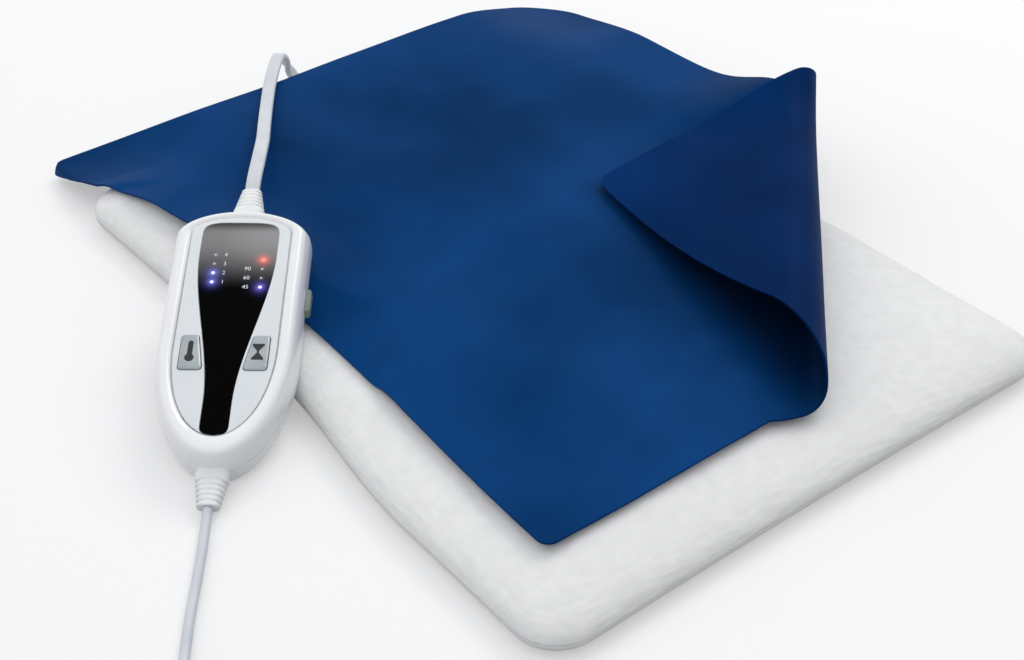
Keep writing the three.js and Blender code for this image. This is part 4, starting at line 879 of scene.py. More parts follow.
@dataclass
class Pad:
    """The fleece pad: a domed top cover and a flat bottom cover that meet in a side seam, in millimetres.

    Args:
        seam: height of the seam; seam_gap is each cover's distance from its middle.
        crown: rise of the dome over the seam; crown_power is how fully it rises at its edge.
        draw_in: how far the sides are drawn in at their middle.
        border: width of the seam's flat border inside.
        pocket: height of the pocket's roof.
        floor: thickness of the bottom cover.
        sole_inset: how far the flat sole stays inside the outline.
        front_spread: how far the soft front edge spreads.
        side_spread: how far the front left corner spreads sideways.
        spread_from: where along the pad the sideways spread and the front's start.
        pile: greatest push of the pile.
        dome_reach: how far inward the dome's rings reach, as a share of half the width.
        dome_gather: how closely they gather at the edge.
    """

    width: float = 300.0
    length: float = 400.0
    seam: float = 9.0
    seam_gap: float = 0.15
    crown: float = 18.0
    crown_power: float = 5.0
    corner: float = 22.0
    draw_in: float = 2.0
    border: float = 13.0
    pocket: float = 11.5
    floor: float = 5.0
    sole_inset: float = 9.0
    front_spread: float = 11.0
    side_spread: float = 12.5
    spread_from: Pair = (10, -60)
    spread_reach: float = 120
    pile: float = 1.1
    fill: float = 0.7
    corner_steps: int = 14
    side_steps: int = 90
    dome_rings: int = 88
    dome_reach: float = 0.92
    dome_gather: float = 1.7

    def spread(self, x: Array, y: Array) -> tuple[Array, Array]:
        """Finds how far places move as the pad spreads.

        Args:
            x: the places' x.
            y: the places' y.

        Returns:
            How far they move to the left and to the front.
        """
        side = np.clip((self.spread_from[0] - y) / self.spread_reach, 0, 1)
        ahead = np.clip((self.spread_from[1] - y) / self.spread_reach, 0, 1)
        leftness = (self.width / 2 - x) / self.width
        sideways = self.side_spread * leftness**2 * side * side * (3 - 2 * side)
        return sideways, self.front_spread * ahead * ahead * (3 - 2 * ahead)

    def outline(self, inset: float) -> list[Pair]:
        """Finds the pad's outline, drawn in and spread.

        Args:
            inset: how far inside the pad's edge it runs.

        Returns:
            The outline's points in millimetres.
        """
        half_x, half_y = self.width / 2 - inset, self.length / 2 - inset
        radius = min(max(self.corner - inset / 2, self.corner / 2), half_x)
        points = []
        for quarter, (sign_x, sign_y) in enumerate(((1, 1), (-1, 1), (-1, -1), (1, -1))):
            cx, cy = sign_x * (half_x - radius), sign_y * (half_y - radius)
            nx, ny = (-cx, cy) if quarter % 2 == 0 else (cx, -cy)
            for k in range(self.corner_steps + 1):
                angle = (quarter + k / self.corner_steps) * math.pi / 2
                points.append((cx + radius * math.cos(angle), cy + radius * math.sin(angle)))
            end = (quarter + 1) * math.pi / 2
            for k in range(1, self.side_steps):
                t = k / self.side_steps
                x, y = mix(cx, nx, t), mix(cy, ny, t)
                points.append((x + radius * math.cos(end), y + radius * math.sin(end)))
        drawn = []
        for x, y in points:
            dx = math.copysign(self.draw_in * abs(x / half_x) * (1 - (y / half_y) ** 2), x) if x else 0.0
            dy = math.copysign(self.draw_in * abs(y / half_y) * (1 - (x / half_x) ** 2), y) if y else 0.0
            left, front = self.spread(x, y)
            drawn.append((x - dx - float(left), y - dy - float(front)))
        return drawn

    def level(self, inset: float, height: float) -> Ring:
        """Returns the outline at an inset and a height, in metres."""
        return [Vector((x, y, height)) * MM for x, y in self.outline(inset)]

    def dome(self, inset: float) -> float:
        """Returns the top's height at an inset."""
        rise = math.sqrt(max(1 - (1 - 2 * inset / self.width) ** self.crown_power, 0))
        return self.seam + self.crown * rise

    def fluff(self, shaper: Shaper, below: float) -> None:
        """Pushes the surface in and out as a short pile does.

        Args:
            shaper: the cover's mesh.
            below: vertices under this height in millimetres stay.
        """
        shaper.mesh.normal_update()
        for vert in shaper.mesh.verts:
            if vert.co.z < below * MM:
                continue
            tuft = noise.noise(vert.co * 340) * 0.5 + noise.noise(vert.co * 800) * 0.5
            lump = noise.noise(vert.co * 34) * 0.7 + noise.noise(vert.co * 110) * 0.3
            push = self.pile * (tuft * 0.5 + lump * 0.5 - 0.2)
            vert.co += vert.normal * push * MM

    def build_top(self) -> None:
        """Builds the domed top cover."""
        edge = self.seam + self.seam_gap
        rings = [self.level(self.border, self.pocket), self.level(self.border, edge), self.level(0, edge)]
        for k in range(1, self.dome_rings + 1):
            inset = self.width / 2 * self.dome_reach * (k / self.dome_rings) ** self.dome_gather
            rings.append(self.level(inset, self.dome(inset)))
        shaper = Shaper("pad_top_fleece").loft(rings).outward()
        self.fluff(shaper, self.seam + 0.4)
        made = shaper.finish(FLEECE, replaces=["pad_top_cover"], crease=70)

    def build_bottom(self) -> None:
        """Builds the bottom cover with its flat sole."""
        edge = self.seam - self.seam_gap
        steps = 9
        rings = [self.level(self.sole_inset, 0.0)]
        for k in range(1, steps):
            angle = k / steps * math.pi / 2
            inset = self.sole_inset * (1 - math.sin(angle))
            rings.append(self.level(inset, edge * (1 - math.cos(angle))))
        rings += [self.level(0, edge), self.level(self.border, edge), self.level(self.border, self.floor)]
        made = Shaper("pad_bottom_fleece").loft(rings).finish(
            FLEECE, replaces=["pad_bottom_cover"], crease=50
        )

    def build(self) -> None:
        """Builds the pad."""
        self.build_top()
        self.build_bottom()


@dataclass(frozen=True)
class Lamp:
    """One light behind the window.

    Args:
        x: its place along the controller, in millimetres.
        y: its place across.
        halo: its halo's colour.
        finish: its bright spot's finish.
    """

    x: float
    y: float
    halo: Triple
    finish: Finish

    def reach(self, x: float, y: float) -> float:
        """Finds how much of the halo reaches a place.

        Args:
            x: the place along the controller.
            y: the place across.

        Returns:
            A share of the halo's colour.
        """
        near = math.hypot(x - self.x, y - self.y)
        swells = ((0.5, 0.8),) if self.finish is DIM_LIGHT else ((0.8, 1.7), (0.3, 3.4))
        return sum(share * math.exp(-((near / width) ** 2)) for share, width in swells)


@dataclass
class Controller:
    """The hand controller, in its own frame: x runs from its lower end to its upper end, z out of its face.

    Its sizes are in millimetres and repeat those of the part's source, but for the head.

    Args:
        crown: length of the rounded head; crown_powers is how square it is along and across.
        head_trim: how far the head stops short of the source's.
        head_share: how far inner outlines follow it, as a share of their inset.
        outline_steps: pieces of the foot, the side and the head.
        parting: height of the line between the shells; parting_gap is half the gap there.
        rim_fall: how far the rim falls toward the head, above the height rim_from.
        foot_push: how far inner outlines are drawn back from the foot.
        push_insets: the insets where that starts and is full, and above which it always holds.
        place: where the foot rests, in the row frame.
        lens_widening: length over which the window widens, from lens_straight on.
        lens_cap: length of its rounded head; lens_powers is how square its foot and its head are.
        screw_recess: radius of the holes over the screws.
        text_columns: places across of the numbers by the heat lights and by the timer lights.
    """

    length: float = 146.5
    half_width: float = 32.5
    taper: float = 62.0
    crown: float = 17.5
    crown_powers: Pair = (1.7, 2.0)
    head_trim: float = 2.7
    head_share: float = 0.7
    outline_steps: tuple[int, int, int] = (26, 14, 22)
    parting: float = 11.0
    parting_gap: float = 0.15
    panel_inset: float = 9.1
    rim_fall: float = 1.1
    rim_from: float = 19.0
    foot_push: float = 5.8
    push_insets: Triple = (4.0, 8.4, 8.0)
    sole_inset: float = 4.0
    panel_top: float = 22.9
    panel_bottom: float = 21.3
    place: Pair = (-205.6, -31.5)
    yaw: float = 50.2
    tilt: float = 16.5
    lens_foot: float = 12.6
    lens_straight: float = 30.0
    lens_widening: float = 85.0
    lens_top: float = 134.0
    lens_narrow: float = 6.3
    lens_wide: float = 18.1
    lens_cap: float = 10.0
    lens_powers: Pair = (7.0, 4.2)
    lens_back: float = 22.2
    lens_shoulder: float = 22.78
    button_low: float = 48.0
    button_high: float = 67.0
    button_outer: float = 20.2
    button_gap: float = 1.5
    button_corner: float = 1.8
    mark_base: float = 23.76
    slide_place: float = 95.0
    screw_places: tuple[Pair, ...] = ((30.0, 19.5), (126.5, 23.0))
    screw_recess: float = 2.8
    heat_lights: tuple[float, ...] = (114.4, 109.0, 103.6, 98.2)
    timer_lights: tuple[float, ...] = (111.6, 106.2, 100.8, 95.4)
    heat_light_y: float = 10.6
    timer_light_y: float = -12.3
    text_size: float = 3.1
    text_base: float = 22.93
    text_columns: Pair = (5.6, -5.4)

    def frame(self) -> Matrix:
        """Returns the matrix from the controller's frame in millimetres to the row frame in metres."""
        tilt = math.radians(self.tilt)
        lift = -self.sole_inset * math.sin(tilt)
        turn = Matrix.Rotation(math.radians(self.yaw), 4, "Z") @ Matrix.Rotation(-tilt, 4, "Y")
        move = Matrix.Translation(Vector((*self.place, lift)) * MM)
        return move @ turn @ Matrix.Scale(MM, 4)

    def underside(self, x: Array, y: Array) -> Array:
        """Finds the height of the controller's underside.

        Args:
            x: places in the row frame, in millimetres.
            y: the places' y.

        Returns:
            The height over each place.
        """
        tilt, yaw = math.radians(self.tilt), math.radians(self.yaw)
        normal = (-math.sin(tilt) * math.cos(yaw), -math.sin(tilt) * math.sin(yaw), math.cos(tilt))
        fall = normal[0] * (x - self.place[0]) + normal[1] * (y - self.place[1])
        return -self.sole_inset * math.sin(tilt) - fall / normal[2]

    def away(self, x: Array, y: Array) -> Array:
        """Finds how far places lie from the controller's footprint.

        Args:
            x: places in the row frame, in millimetres.
            y: the places' y.

        Returns:
            The distance of each place, 0 under the controller.
        """
        yaw = math.radians(self.yaw)
        dx, dy = x - self.place[0], y - self.place[1]
        along = (dx * math.cos(yaw) + dy * math.sin(yaw)) / math.cos(math.radians(self.tilt))
        across = np.abs(-dx * math.sin(yaw) + dy * math.cos(yaw))
        past = np.maximum(np.maximum(along - self.length, -along), 0)
        return np.hypot(past, np.maximum(across - (self.half_width - self.sole_inset), 0))

    def outline(self, inset: float) -> list[Pair]:
        """Finds the casing's outline.

        Args:
            inset: how far inside the casing's edge it runs.

        Returns:
            The outline's points, from the foot round.
        """
        half = self.half_width - inset
        crown_start = self.length - self.crown
        reach = self.crown - self.head_trim - inset * self.head_share
        foot, side, top = self.outline_steps
        points = []
        for k in range(1, foot + 1):
            angle = math.pi / 2 * k / foot
            points.append((self.taper - (self.taper - inset) * math.cos(angle), half * math.sin(angle)))
        points += [(self.taper + (crown_start - self.taper) * k / side, half) for k in range(1, side + 1)]
        for k in range(1, top):
            angle = math.pi / 2 * k / top
            along = crown_start + reach * power(math.sin(angle), 2 / self.crown_powers[0])
            points.append((along, half * power(math.cos(angle), 2 / self.crown_powers[1])))
        return self.mirrored((inset, 0.0), points, (crown_start + reach, 0.0))

    @staticmethod
    def mirrored(foot: Pair, points: Sequence[Pair], head: Pair) -> list[Pair]:
        """Closes one side of an outline with its mirror image.

        Args:
            foot: its lowest point.
            points: one side, from foot to head.
            head: its highest point.

        Returns:
            The whole outline.
        """
        return [foot, *((x, -y) for x, y in points), head, *reversed(points)]

    def ring(self, inset: float, height: float, falls: bool = False) -> Ring:
        """Makes one ring of the casing; the inner rings stop short of the foot.

        Args:
            inset: how far inside the casing's edge it runs.
            height: its height.
            falls: whether it falls toward the head, as the rim does.

        Returns:
            The ring.
        """
        start, full, inner = self.push_insets
        share = min(max((inset - start) / (full - start), 0.0), 1.0) if falls or inset > inner else 0.0
        ring = []
        for x, y in self.outline(inset):
            x += self.foot_push * share * max(1 - x / self.taper, 0.0) ** 2
            fall = self.rim_fall * ease((x - self.taper) / (self.length - self.taper)) if falls else 0.0
            ring.append(Vector((x, y, height - fall)))
        return ring

    @staticmethod
    def rounded(profile: Sequence[Pair], steps: int = 0) -> list[Pair]:
        """Runs a smooth line through profile points.

        Args:
            profile: inset and height of each point.
            steps: pieces in the shortest stretch, or 0 for two pieces in every stretch.

        Returns:
            The finer profile.
        """
        shortest = min((Vector(b) - Vector(a)).length for a, b in zip(profile, profile[1:]))
        fine = smooth_line([(a, b, 0.0) for a, b in profile], shortest / steps if steps else math.inf)
        return [(p.x, p.y) for p in fine]

    def build_shells(self) -> None:
        """Builds the base shell and the top shell with its raised rim."""
        low, high = self.parting - self.parting_gap, self.parting + self.parting_gap
        foot = [(self.sole_inset, 0), (2.2, 0.5), (1.1, 2.2), (0.5, 5), (0.15, 8), (0, low)]
        inside = [(0.6, low), (0.6, low - 0.3), (2, low - 0.3), (2, 6), (self.sole_inset, 2)]
        rings = [self.ring(a, b) for a, b in self.rounded(foot, 3) + inside]
        holes = [(x, side * y) for x, y in self.screw_places for side in (1, -1)]
        base = Shaper("controller_base").loft(rings).drilled(holes, self.screw_recess, -1.0, 3.0)
        base.placed(self.frame()).finish(SHELL, replaces=["controller_base_shell"], crease=35)
        swell = [(0, high), (0.12, 14), (0.5, 17.5), (1.3, 20.6), (2.5, 22.8), (4.0, 23.95), (5.4, 24.2)]
        swell += [(6.6, 24.02), (7.5, 23.6), (8.1, 23.1)]
        inside = [(8.4, 22.0), (8.4, 21), (9.9, 21), (9.9, 19.4), (5, 19.1), (2, 17), (2, high)]
        rings = [self.ring(a, b, b > self.rim_from) for a, b in self.rounded(swell)]
        rings += [self.ring(a, b) for a, b in inside]
        top = Shaper("controller_top").loft(rings, endless=True).placed(self.frame())
        top.finish(SHELL, replaces=["controller_top_shell"], crease=35)

    def lens_half(self, x: float) -> float:
        """Returns the window's half-width at a place along the controller."""
        return mix(self.lens_narrow, self.lens_wide, ease((x - self.lens_straight) / self.lens_widening))

    def foot_edge(self, y: float) -> float:
        """Finds where the panel's edge crosses the window's foot.

        Args:
            y: a place across.

        Returns:
            The edge's place along the controller.
        """
        bow = math.sqrt(1 - (y / (self.half_width - self.panel_inset)) ** 2)
        along = self.taper - (self.taper - self.panel_inset) * bow
        return along + self.foot_push * (1 - along / self.taper) ** 2

    def lens_outline(self, margin: float) -> list[Pair]:
        """Finds the window's outline; its foot runs out to the panel's edge.

        Args:
            margin: how much wider it is than the window.

        Returns:
            The outline's points.
        """
        foot_end, cap_start = self.lens_foot + 8, self.lens_top - self.lens_cap
        foot_power, head_power = (2 / p for p in self.lens_powers)
        caps, sides = 14, 40
        points = []
        for k in range(1, caps + 1):
            angle = math.pi / 2 * k / caps
            y = (self.lens_narrow + margin) * power(math.sin(angle), foot_power)
            edge = self.foot_edge(y) - margin
            points.append((foot_end - (foot_end - edge) * power(math.cos(angle), foot_power), y))
        for k in range(sides + 1):
            along = self.lens_straight + (cap_start - self.lens_straight) * k / sides
            points.append((along, self.lens_half(along) + margin))
        for k in range(1, caps):
            angle = math.pi / 2 * k / caps
            along = cap_start + (self.lens_cap + margin) * power(math.sin(angle), head_power)
            points.append((along, (self.lens_wide + margin) * power(math.cos(angle), head_power)))
        return self.mirrored((self.foot_edge(0.0) - margin, 0.0), points, (self.lens_top + margin, 0.0))

    def build_panel(self) -> None:
        """Builds the face panel and cuts the window's and the buttons' openings into it."""
        inset, top = self.panel_inset, self.panel_top
        edge = [(inset, self.panel_bottom), (inset - 0.15, top - 0.35)]
        edge += [(inset + 0.1, top - 0.08), (inset + 0.5, top)]
        plate = Shaper("face_panel_plate").loft([self.ring(a, b) for a, b in edge])
        cutters = [self.cutter(self.lens_outline(0.3), 22.0, 25.0)]
        cutters += [self.cutter(self.button_outline(side, 0.35), 20.0, 25.0) for side in (1, -1)]
        made = plate.placed(self.frame()).finish(PANEL, replaces=["face_panel"], crease=30)
        made.data = Shaper.carved(made, cutters)

    @staticmethod
    def prism(outline: Sequence[Pair], low: float, high: float) -> list[list[Point]]:
        """Returns the two rings of an upright solid on an outline."""
        return [[(x, y, height) for x, y in outline] for height in (low, high)]

    def cutter(self, outline: Sequence[Pair], low: float, high: float) -> bpy.types.Object:
        """Makes an upright solid that cuts an opening.

        Args:
            outline: the opening's outline.
            low: where it starts.
            high: where it ends.

        Returns:
            The solid, in the row frame.
        """
        return Shaper("cutter").loft(self.prism(outline, low, high)).placed(self.frame()).outward().object()

    def build_lens(self) -> None:
        """Builds the black window, its lights shining through and a painted pale glow on its upper part."""
        rings = self.prism(self.lens_outline(0.0), self.lens_back, self.lens_shoulder)
        rings.append([(x, y, self.panel_top) for x, y in self.lens_outline(-0.15)])
        shaper = Shaper("window").loft(rings)
        top = [f for f in shaper.mesh.faces if all(v.co.z > self.panel_top - 0.01 for v in f.verts)]
        bmesh.ops.triangulate(shaper.mesh, faces=top)
        cuts = [((k + 0.5, 0, 0), (1, 0, 0)) for k in range(12, 134)]
        cuts += [((0, float(k), 0), (0, 1, 0)) for k in range(-18, 19)]
        for place, way in cuts:
            bmesh.ops.bisect_plane(shaper.mesh, geom=shaper.whole(), plane_co=place, plane_no=way)
        layer = shaper.mesh.verts.layers.float_color.new("shine")
        lamps = self.lamps()
        for vert in shaper.mesh.verts:
            vert[layer] = self.shine(lamps, vert.co.x, vert.co.y)
        shaper.placed(self.frame()).finish(WINDOW, replaces=["display_lens"], crease=30)

    def lamps(self) -> list[Lamp]:
        """Returns the eight lights behind the window."""
        # The unlit lights get a faint painted halo; the lit lights' halos stand for their lamps.
        dim, blue = ((0.25, 0.27, 0.33), DIM_LIGHT), ((0.16, 0.17, 0.75), BLUE_LIGHT)
        red, violet = ((1.0, 0.09, 0.05), RED_LIGHT), ((0.2, 0.16, 0.8), BLUE_LIGHT)
        heat = zip(self.heat_lights, (dim, dim, blue, blue))
        timer = zip(self.timer_lights, (red, dim, dim, violet))
        lamps = [Lamp(x, self.heat_light_y, *look) for x, look in heat]
        return lamps + [Lamp(x, self.timer_light_y, *look) for x, look in timer]

    @staticmethod
    def shine(lamps: Sequence[Lamp], x: float, y: float) -> Colour:
        """Adds up the light on the window: a painted pale glow on its upper part and the lights' halos.

        Args:
            lamps: the lights.
            x: a place along the controller.
            y: the place across.

        Returns:
            The light's colour there.
        """
        # Painted light: the window's upper part glows pale, though no lamp lights it.
        pale = 0.3 * ease((x - 94) / 32) * (1 - 0.75 * ease((x - 128) / 6))
        total = Vector((pale, pale, pale * 1.03)) * (0.75 + 0.25 * ease(0.5 - y / 30))
        for lamp in lamps:
            total += Vector(lamp.halo) * lamp.reach(x, y)
        return (*total, 1.0)

    def build_lamps(self) -> None:
        """Builds the bright spot of each light just proud of the window."""
        names = [f"{row}_light_spot_{k}" for row in ("heat", "timer") for k in range(1, 5)]
        for lamp, name in zip(self.lamps(), names):
            spot = Shaper(name)
            size = 0.5 if lamp.finish is DIM_LIGHT else 0.85
            bmesh.ops.create_uvsphere(spot.mesh, u_segments=20, v_segments=10, radius=size)
            bmesh.ops.scale(spot.mesh, vec=(1, 1, 0.2), verts=spot.mesh.verts)
            bmesh.ops.translate(spot.mesh, vec=(lamp.x, lamp.y, self.panel_top), verts=spot.mesh.verts)
            spot.placed(self.frame()).finish(lamp.finish)

    def button_outline(self, side: int, margin: float) -> list[Pair]:
        """Finds one button's outline.

        Args:
            side: 1 for the heat button and -1 for the timer button.
            margin: how much wider it is than the button.

        Returns:
            The outline's points.
        """
        low, high = self.button_low - margin, self.button_high + margin
        outer = self.button_outer + margin
        inner = [(x, self.lens_half(x) + self.button_gap - margin) for x in (low, high)]
        corners = [Vector(corner) for corner in (*inner, (high, outer), (low, outer))]
        radius = max(self.button_corner + margin, 0.35)
        steps = 8
        points = []
        for i, here in enumerate(corners):
            back = (corners[i - 1] - here).normalized()
            ahead = (corners[(i + 1) % 4] - here).normalized()
            reach = radius / math.tan(back.angle(ahead) / 2)
            start, end = here + back * reach, here + ahead * reach
            for k in range(steps + 1):
                t = k / steps
                point = start * (1 - t) ** 2 + here * 2 * t * (1 - t) + end * t**2
                points.append((point.x, point.y * side))
        return points

    def build_buttons(self) -> None:
        """Builds both push buttons with their marks."""
        profile = [(0.95, 19.85), (0.95, 20.95), (0, 20.95), (0, 23.2), (-0.1, 23.5), (-0.35, 23.72)]
        profile += [(-0.8, 23.84), (-1.6, 23.93), (-2.6, 24.01), (-3.7, 24.06)]
        for side, body in ((1, Body.HEAT_BUTTON), (-1, Body.TIMER_BUTTON)):
            rings = [[(x, y, z) for x, y in self.button_outline(side, m)] for m, z in profile]
            cap = Shaper(f"{body.value}_cap").loft(rings).placed(self.frame())
            cap.finish(BUTTON_FACE, body=body, replaces=[body.value], crease=35)
        x = (self.button_low + self.button_high) / 2
        y = (self.lens_half(x) + self.button_gap + self.button_outer) / 2
        thermometer = arc(x - 3.6, y, 2.1, 35, 290, 24) + arc(x + 4.6, y, 1.15, -90, 180, 12)
        self.mark("thermometer_mark", thermometer, Body.HEAT_BUTTON)
        half = [(-4.4, 2.7), (-3.4, 2.7), (-2.9, 2.2), (-0.5, 0.5)]
        half += [(-a, b) for a, b in reversed(half)]
        hourglass = [(x + a, -y - b) for a, b in half] + [(x + a, -y + b) for a, b in reversed(half)]
        self.mark("hourglass_mark", hourglass, Body.TIMER_BUTTON)

    def mark(self, name: str, outline: Sequence[Pair], body: Body) -> None:
        """Builds a thin raised mark on a button.

        Args:
            name: the mark's name.
            outline: its outline.
            body: the button that it moves with.
        """
        rings = self.prism(outline, self.mark_base, self.mark_base + 0.4)
        Shaper(name).loft(rings).placed(self.frame()).finish(MARK_DARK, body=body)

    def build_numbers(self) -> None:
        """Builds the plain numbers beside the lights."""
        heat_y, timer_y = self.text_columns
        rows = [(x, heat_y, t) for x, t in zip(self.heat_lights, ("4", "3", "2", "1"))]
        rows += [(x, timer_y, t) for x, t in zip(self.timer_lights[1:], ("90", "60", "45"))]
        for k, (x, y, text) in enumerate(rows):
            font = bpy.data.curves.new(f"number_{k}", "FONT")
            font.body = text
            font.size = self.text_size
            font.align_x, font.align_y = "CENTER", "CENTER"
            font.extrude = 0.03
            font.resolution_u = 3
            written = linked(f"number_{k}", font)
            bpy.context.view_layer.update()
            graph = bpy.context.evaluated_depsgraph_get()
            shaper = Shaper(f"scale_number_{k + 1}")
            shaper.mesh.from_mesh(bpy.data.meshes.new_from_object(written.evaluated_get(graph)))
            bpy.data.objects.remove(written)
            bmesh.ops.remove_doubles(shaper.mesh, verts=shaper.mesh.verts, dist=1e-4)
            turn = Matrix.Translation((x, y, self.text_base)) @ Matrix.Rotation(-math.pi / 2, 4, "Z")
            shaper.placed(self.frame() @ turn).finish(MARK_WHITE)

    def knob_ring(self, half_x: float, half_z: float, y: float) -> list[Triple]:
        """Makes one rounded rectangle of the slide knob.

        Args:
            half_x: half its length.
            half_z: half its height.
            y: its place across.

        Returns:
            The ring.
        """
        corner, corners = 0.9, 40
        ring = []
        for k in range(corners):
            angle = 2 * math.pi * (k + 0.5) / corners
            across, upward = math.cos(angle), math.sin(angle)
            x = math.copysign(half_x - corner, across) + corner * across
            z = math.copysign(half_z - corner, upward) + corner * upward
            ring.append((self.slide_place + x, y, self.parting + z))
        return ring

    def build_knob(self) -> None:
        """Builds the slide switch's knob: flange and prong inside, a softly ridged cap outside."""
        profile = [(7.9, 4.4, -28.95), (7.9, 4.4, -30.15), (6.5, 3.0, -30.15), (6.5, 3.0, -34.1)]
        profile += [(6.3, 2.8, -34.7), (5.8, 2.4, -35.05)]
        knob = Shaper("power_slide_cap").loft([self.knob_ring(a, b, y) for a, b, y in profile])
        boxes = [((self.slide_place, -27.2, 12.7), (2.2, 4.2, 2.4))]
        for k in range(5):
            boxes.append(((self.slide_place + (k - 2) * 2.3, -34.9, self.parting), (0.8, 0.5, 4.2)))
        for place, size in boxes:
            matrix = Matrix.Translation(place) @ Matrix.Diagonal((*size, 1.0))
            bmesh.ops.create_cube(knob.mesh, size=1.0, matrix=matrix)
        knob.placed(self.frame()).finish(KNOB, body=Body.POWER_KNOB, replaces=["power_slide_knob"], crease=35)

    def build_reliefs(self) -> None:
        """Builds both ribbed strain reliefs."""
        wide, high, tip_high, start, end = 7.2, 4.9, 3.2, 4.8, 17.0
        shape = ((0.0, 0.9), (0.3, 0.9), (0.42, 0.25), (0.5, 0.0), (0.86, 0.0), (0.96, 0.25))
        for node, foot, way, tip_wide in (
            ("upper_strain_relief", self.length, 1, 4.8),
            ("lower_strain_relief", 0.0, -1, 5.2),
        ):
            sections = [(-4.0, 7.4, 5.0), (1.5, 7.6, 5.2), (3.6, 7.6, 5.2), (4.6, wide, high)]
            for t, sunk in ribs(5, shape):
                width, height = mix(wide, tip_wide, t) - sunk * 1.5, mix(high, tip_high, t) - sunk * 0.25
                sections.append((mix(start, end, t), width, height))
            sections.append((end, tip_wide - 0.2, tip_high - 0.1))
            rings = oval_rings(sections, 2.8, lambda a, b, c: (foot + way * a, b, self.parting + c))
            shaper = Shaper(f"{node}_moulding").loft(rings).placed(self.frame())
            shaper.finish(RUBBER, replaces=[node], crease=40)

    def build(self) -> None:
        """Builds the controller's pieces."""
        self.build_shells()
        self.build_panel()
        self.build_lens()
        self.build_lamps()
        self.build_buttons()
        self.build_numbers()
        self.build_knob()
        self.build_reliefs()


@dataclass(frozen=True)
class Swell:
    """A smooth swelling across the sheet, in millimetres.

    Args:
        height: its greatest height.
        place: the y where it is highest.
        width: how wide it is.
        ramp: length over which it rises along x.
    """

    height: float
    place: float
    width: float
    ramp: float

    def at(self, y: Array, past: Array) -> Array:
        """Finds the swelling's height.

        Args:
            y: the places' y.
            past: how far the places lie past its start along x.

        Returns:
            The height at each place.
        """
        return self.height * np.exp(-(((y - self.place) / self.width) ** 2)) * Sheet.smooth(past / self.ramp)


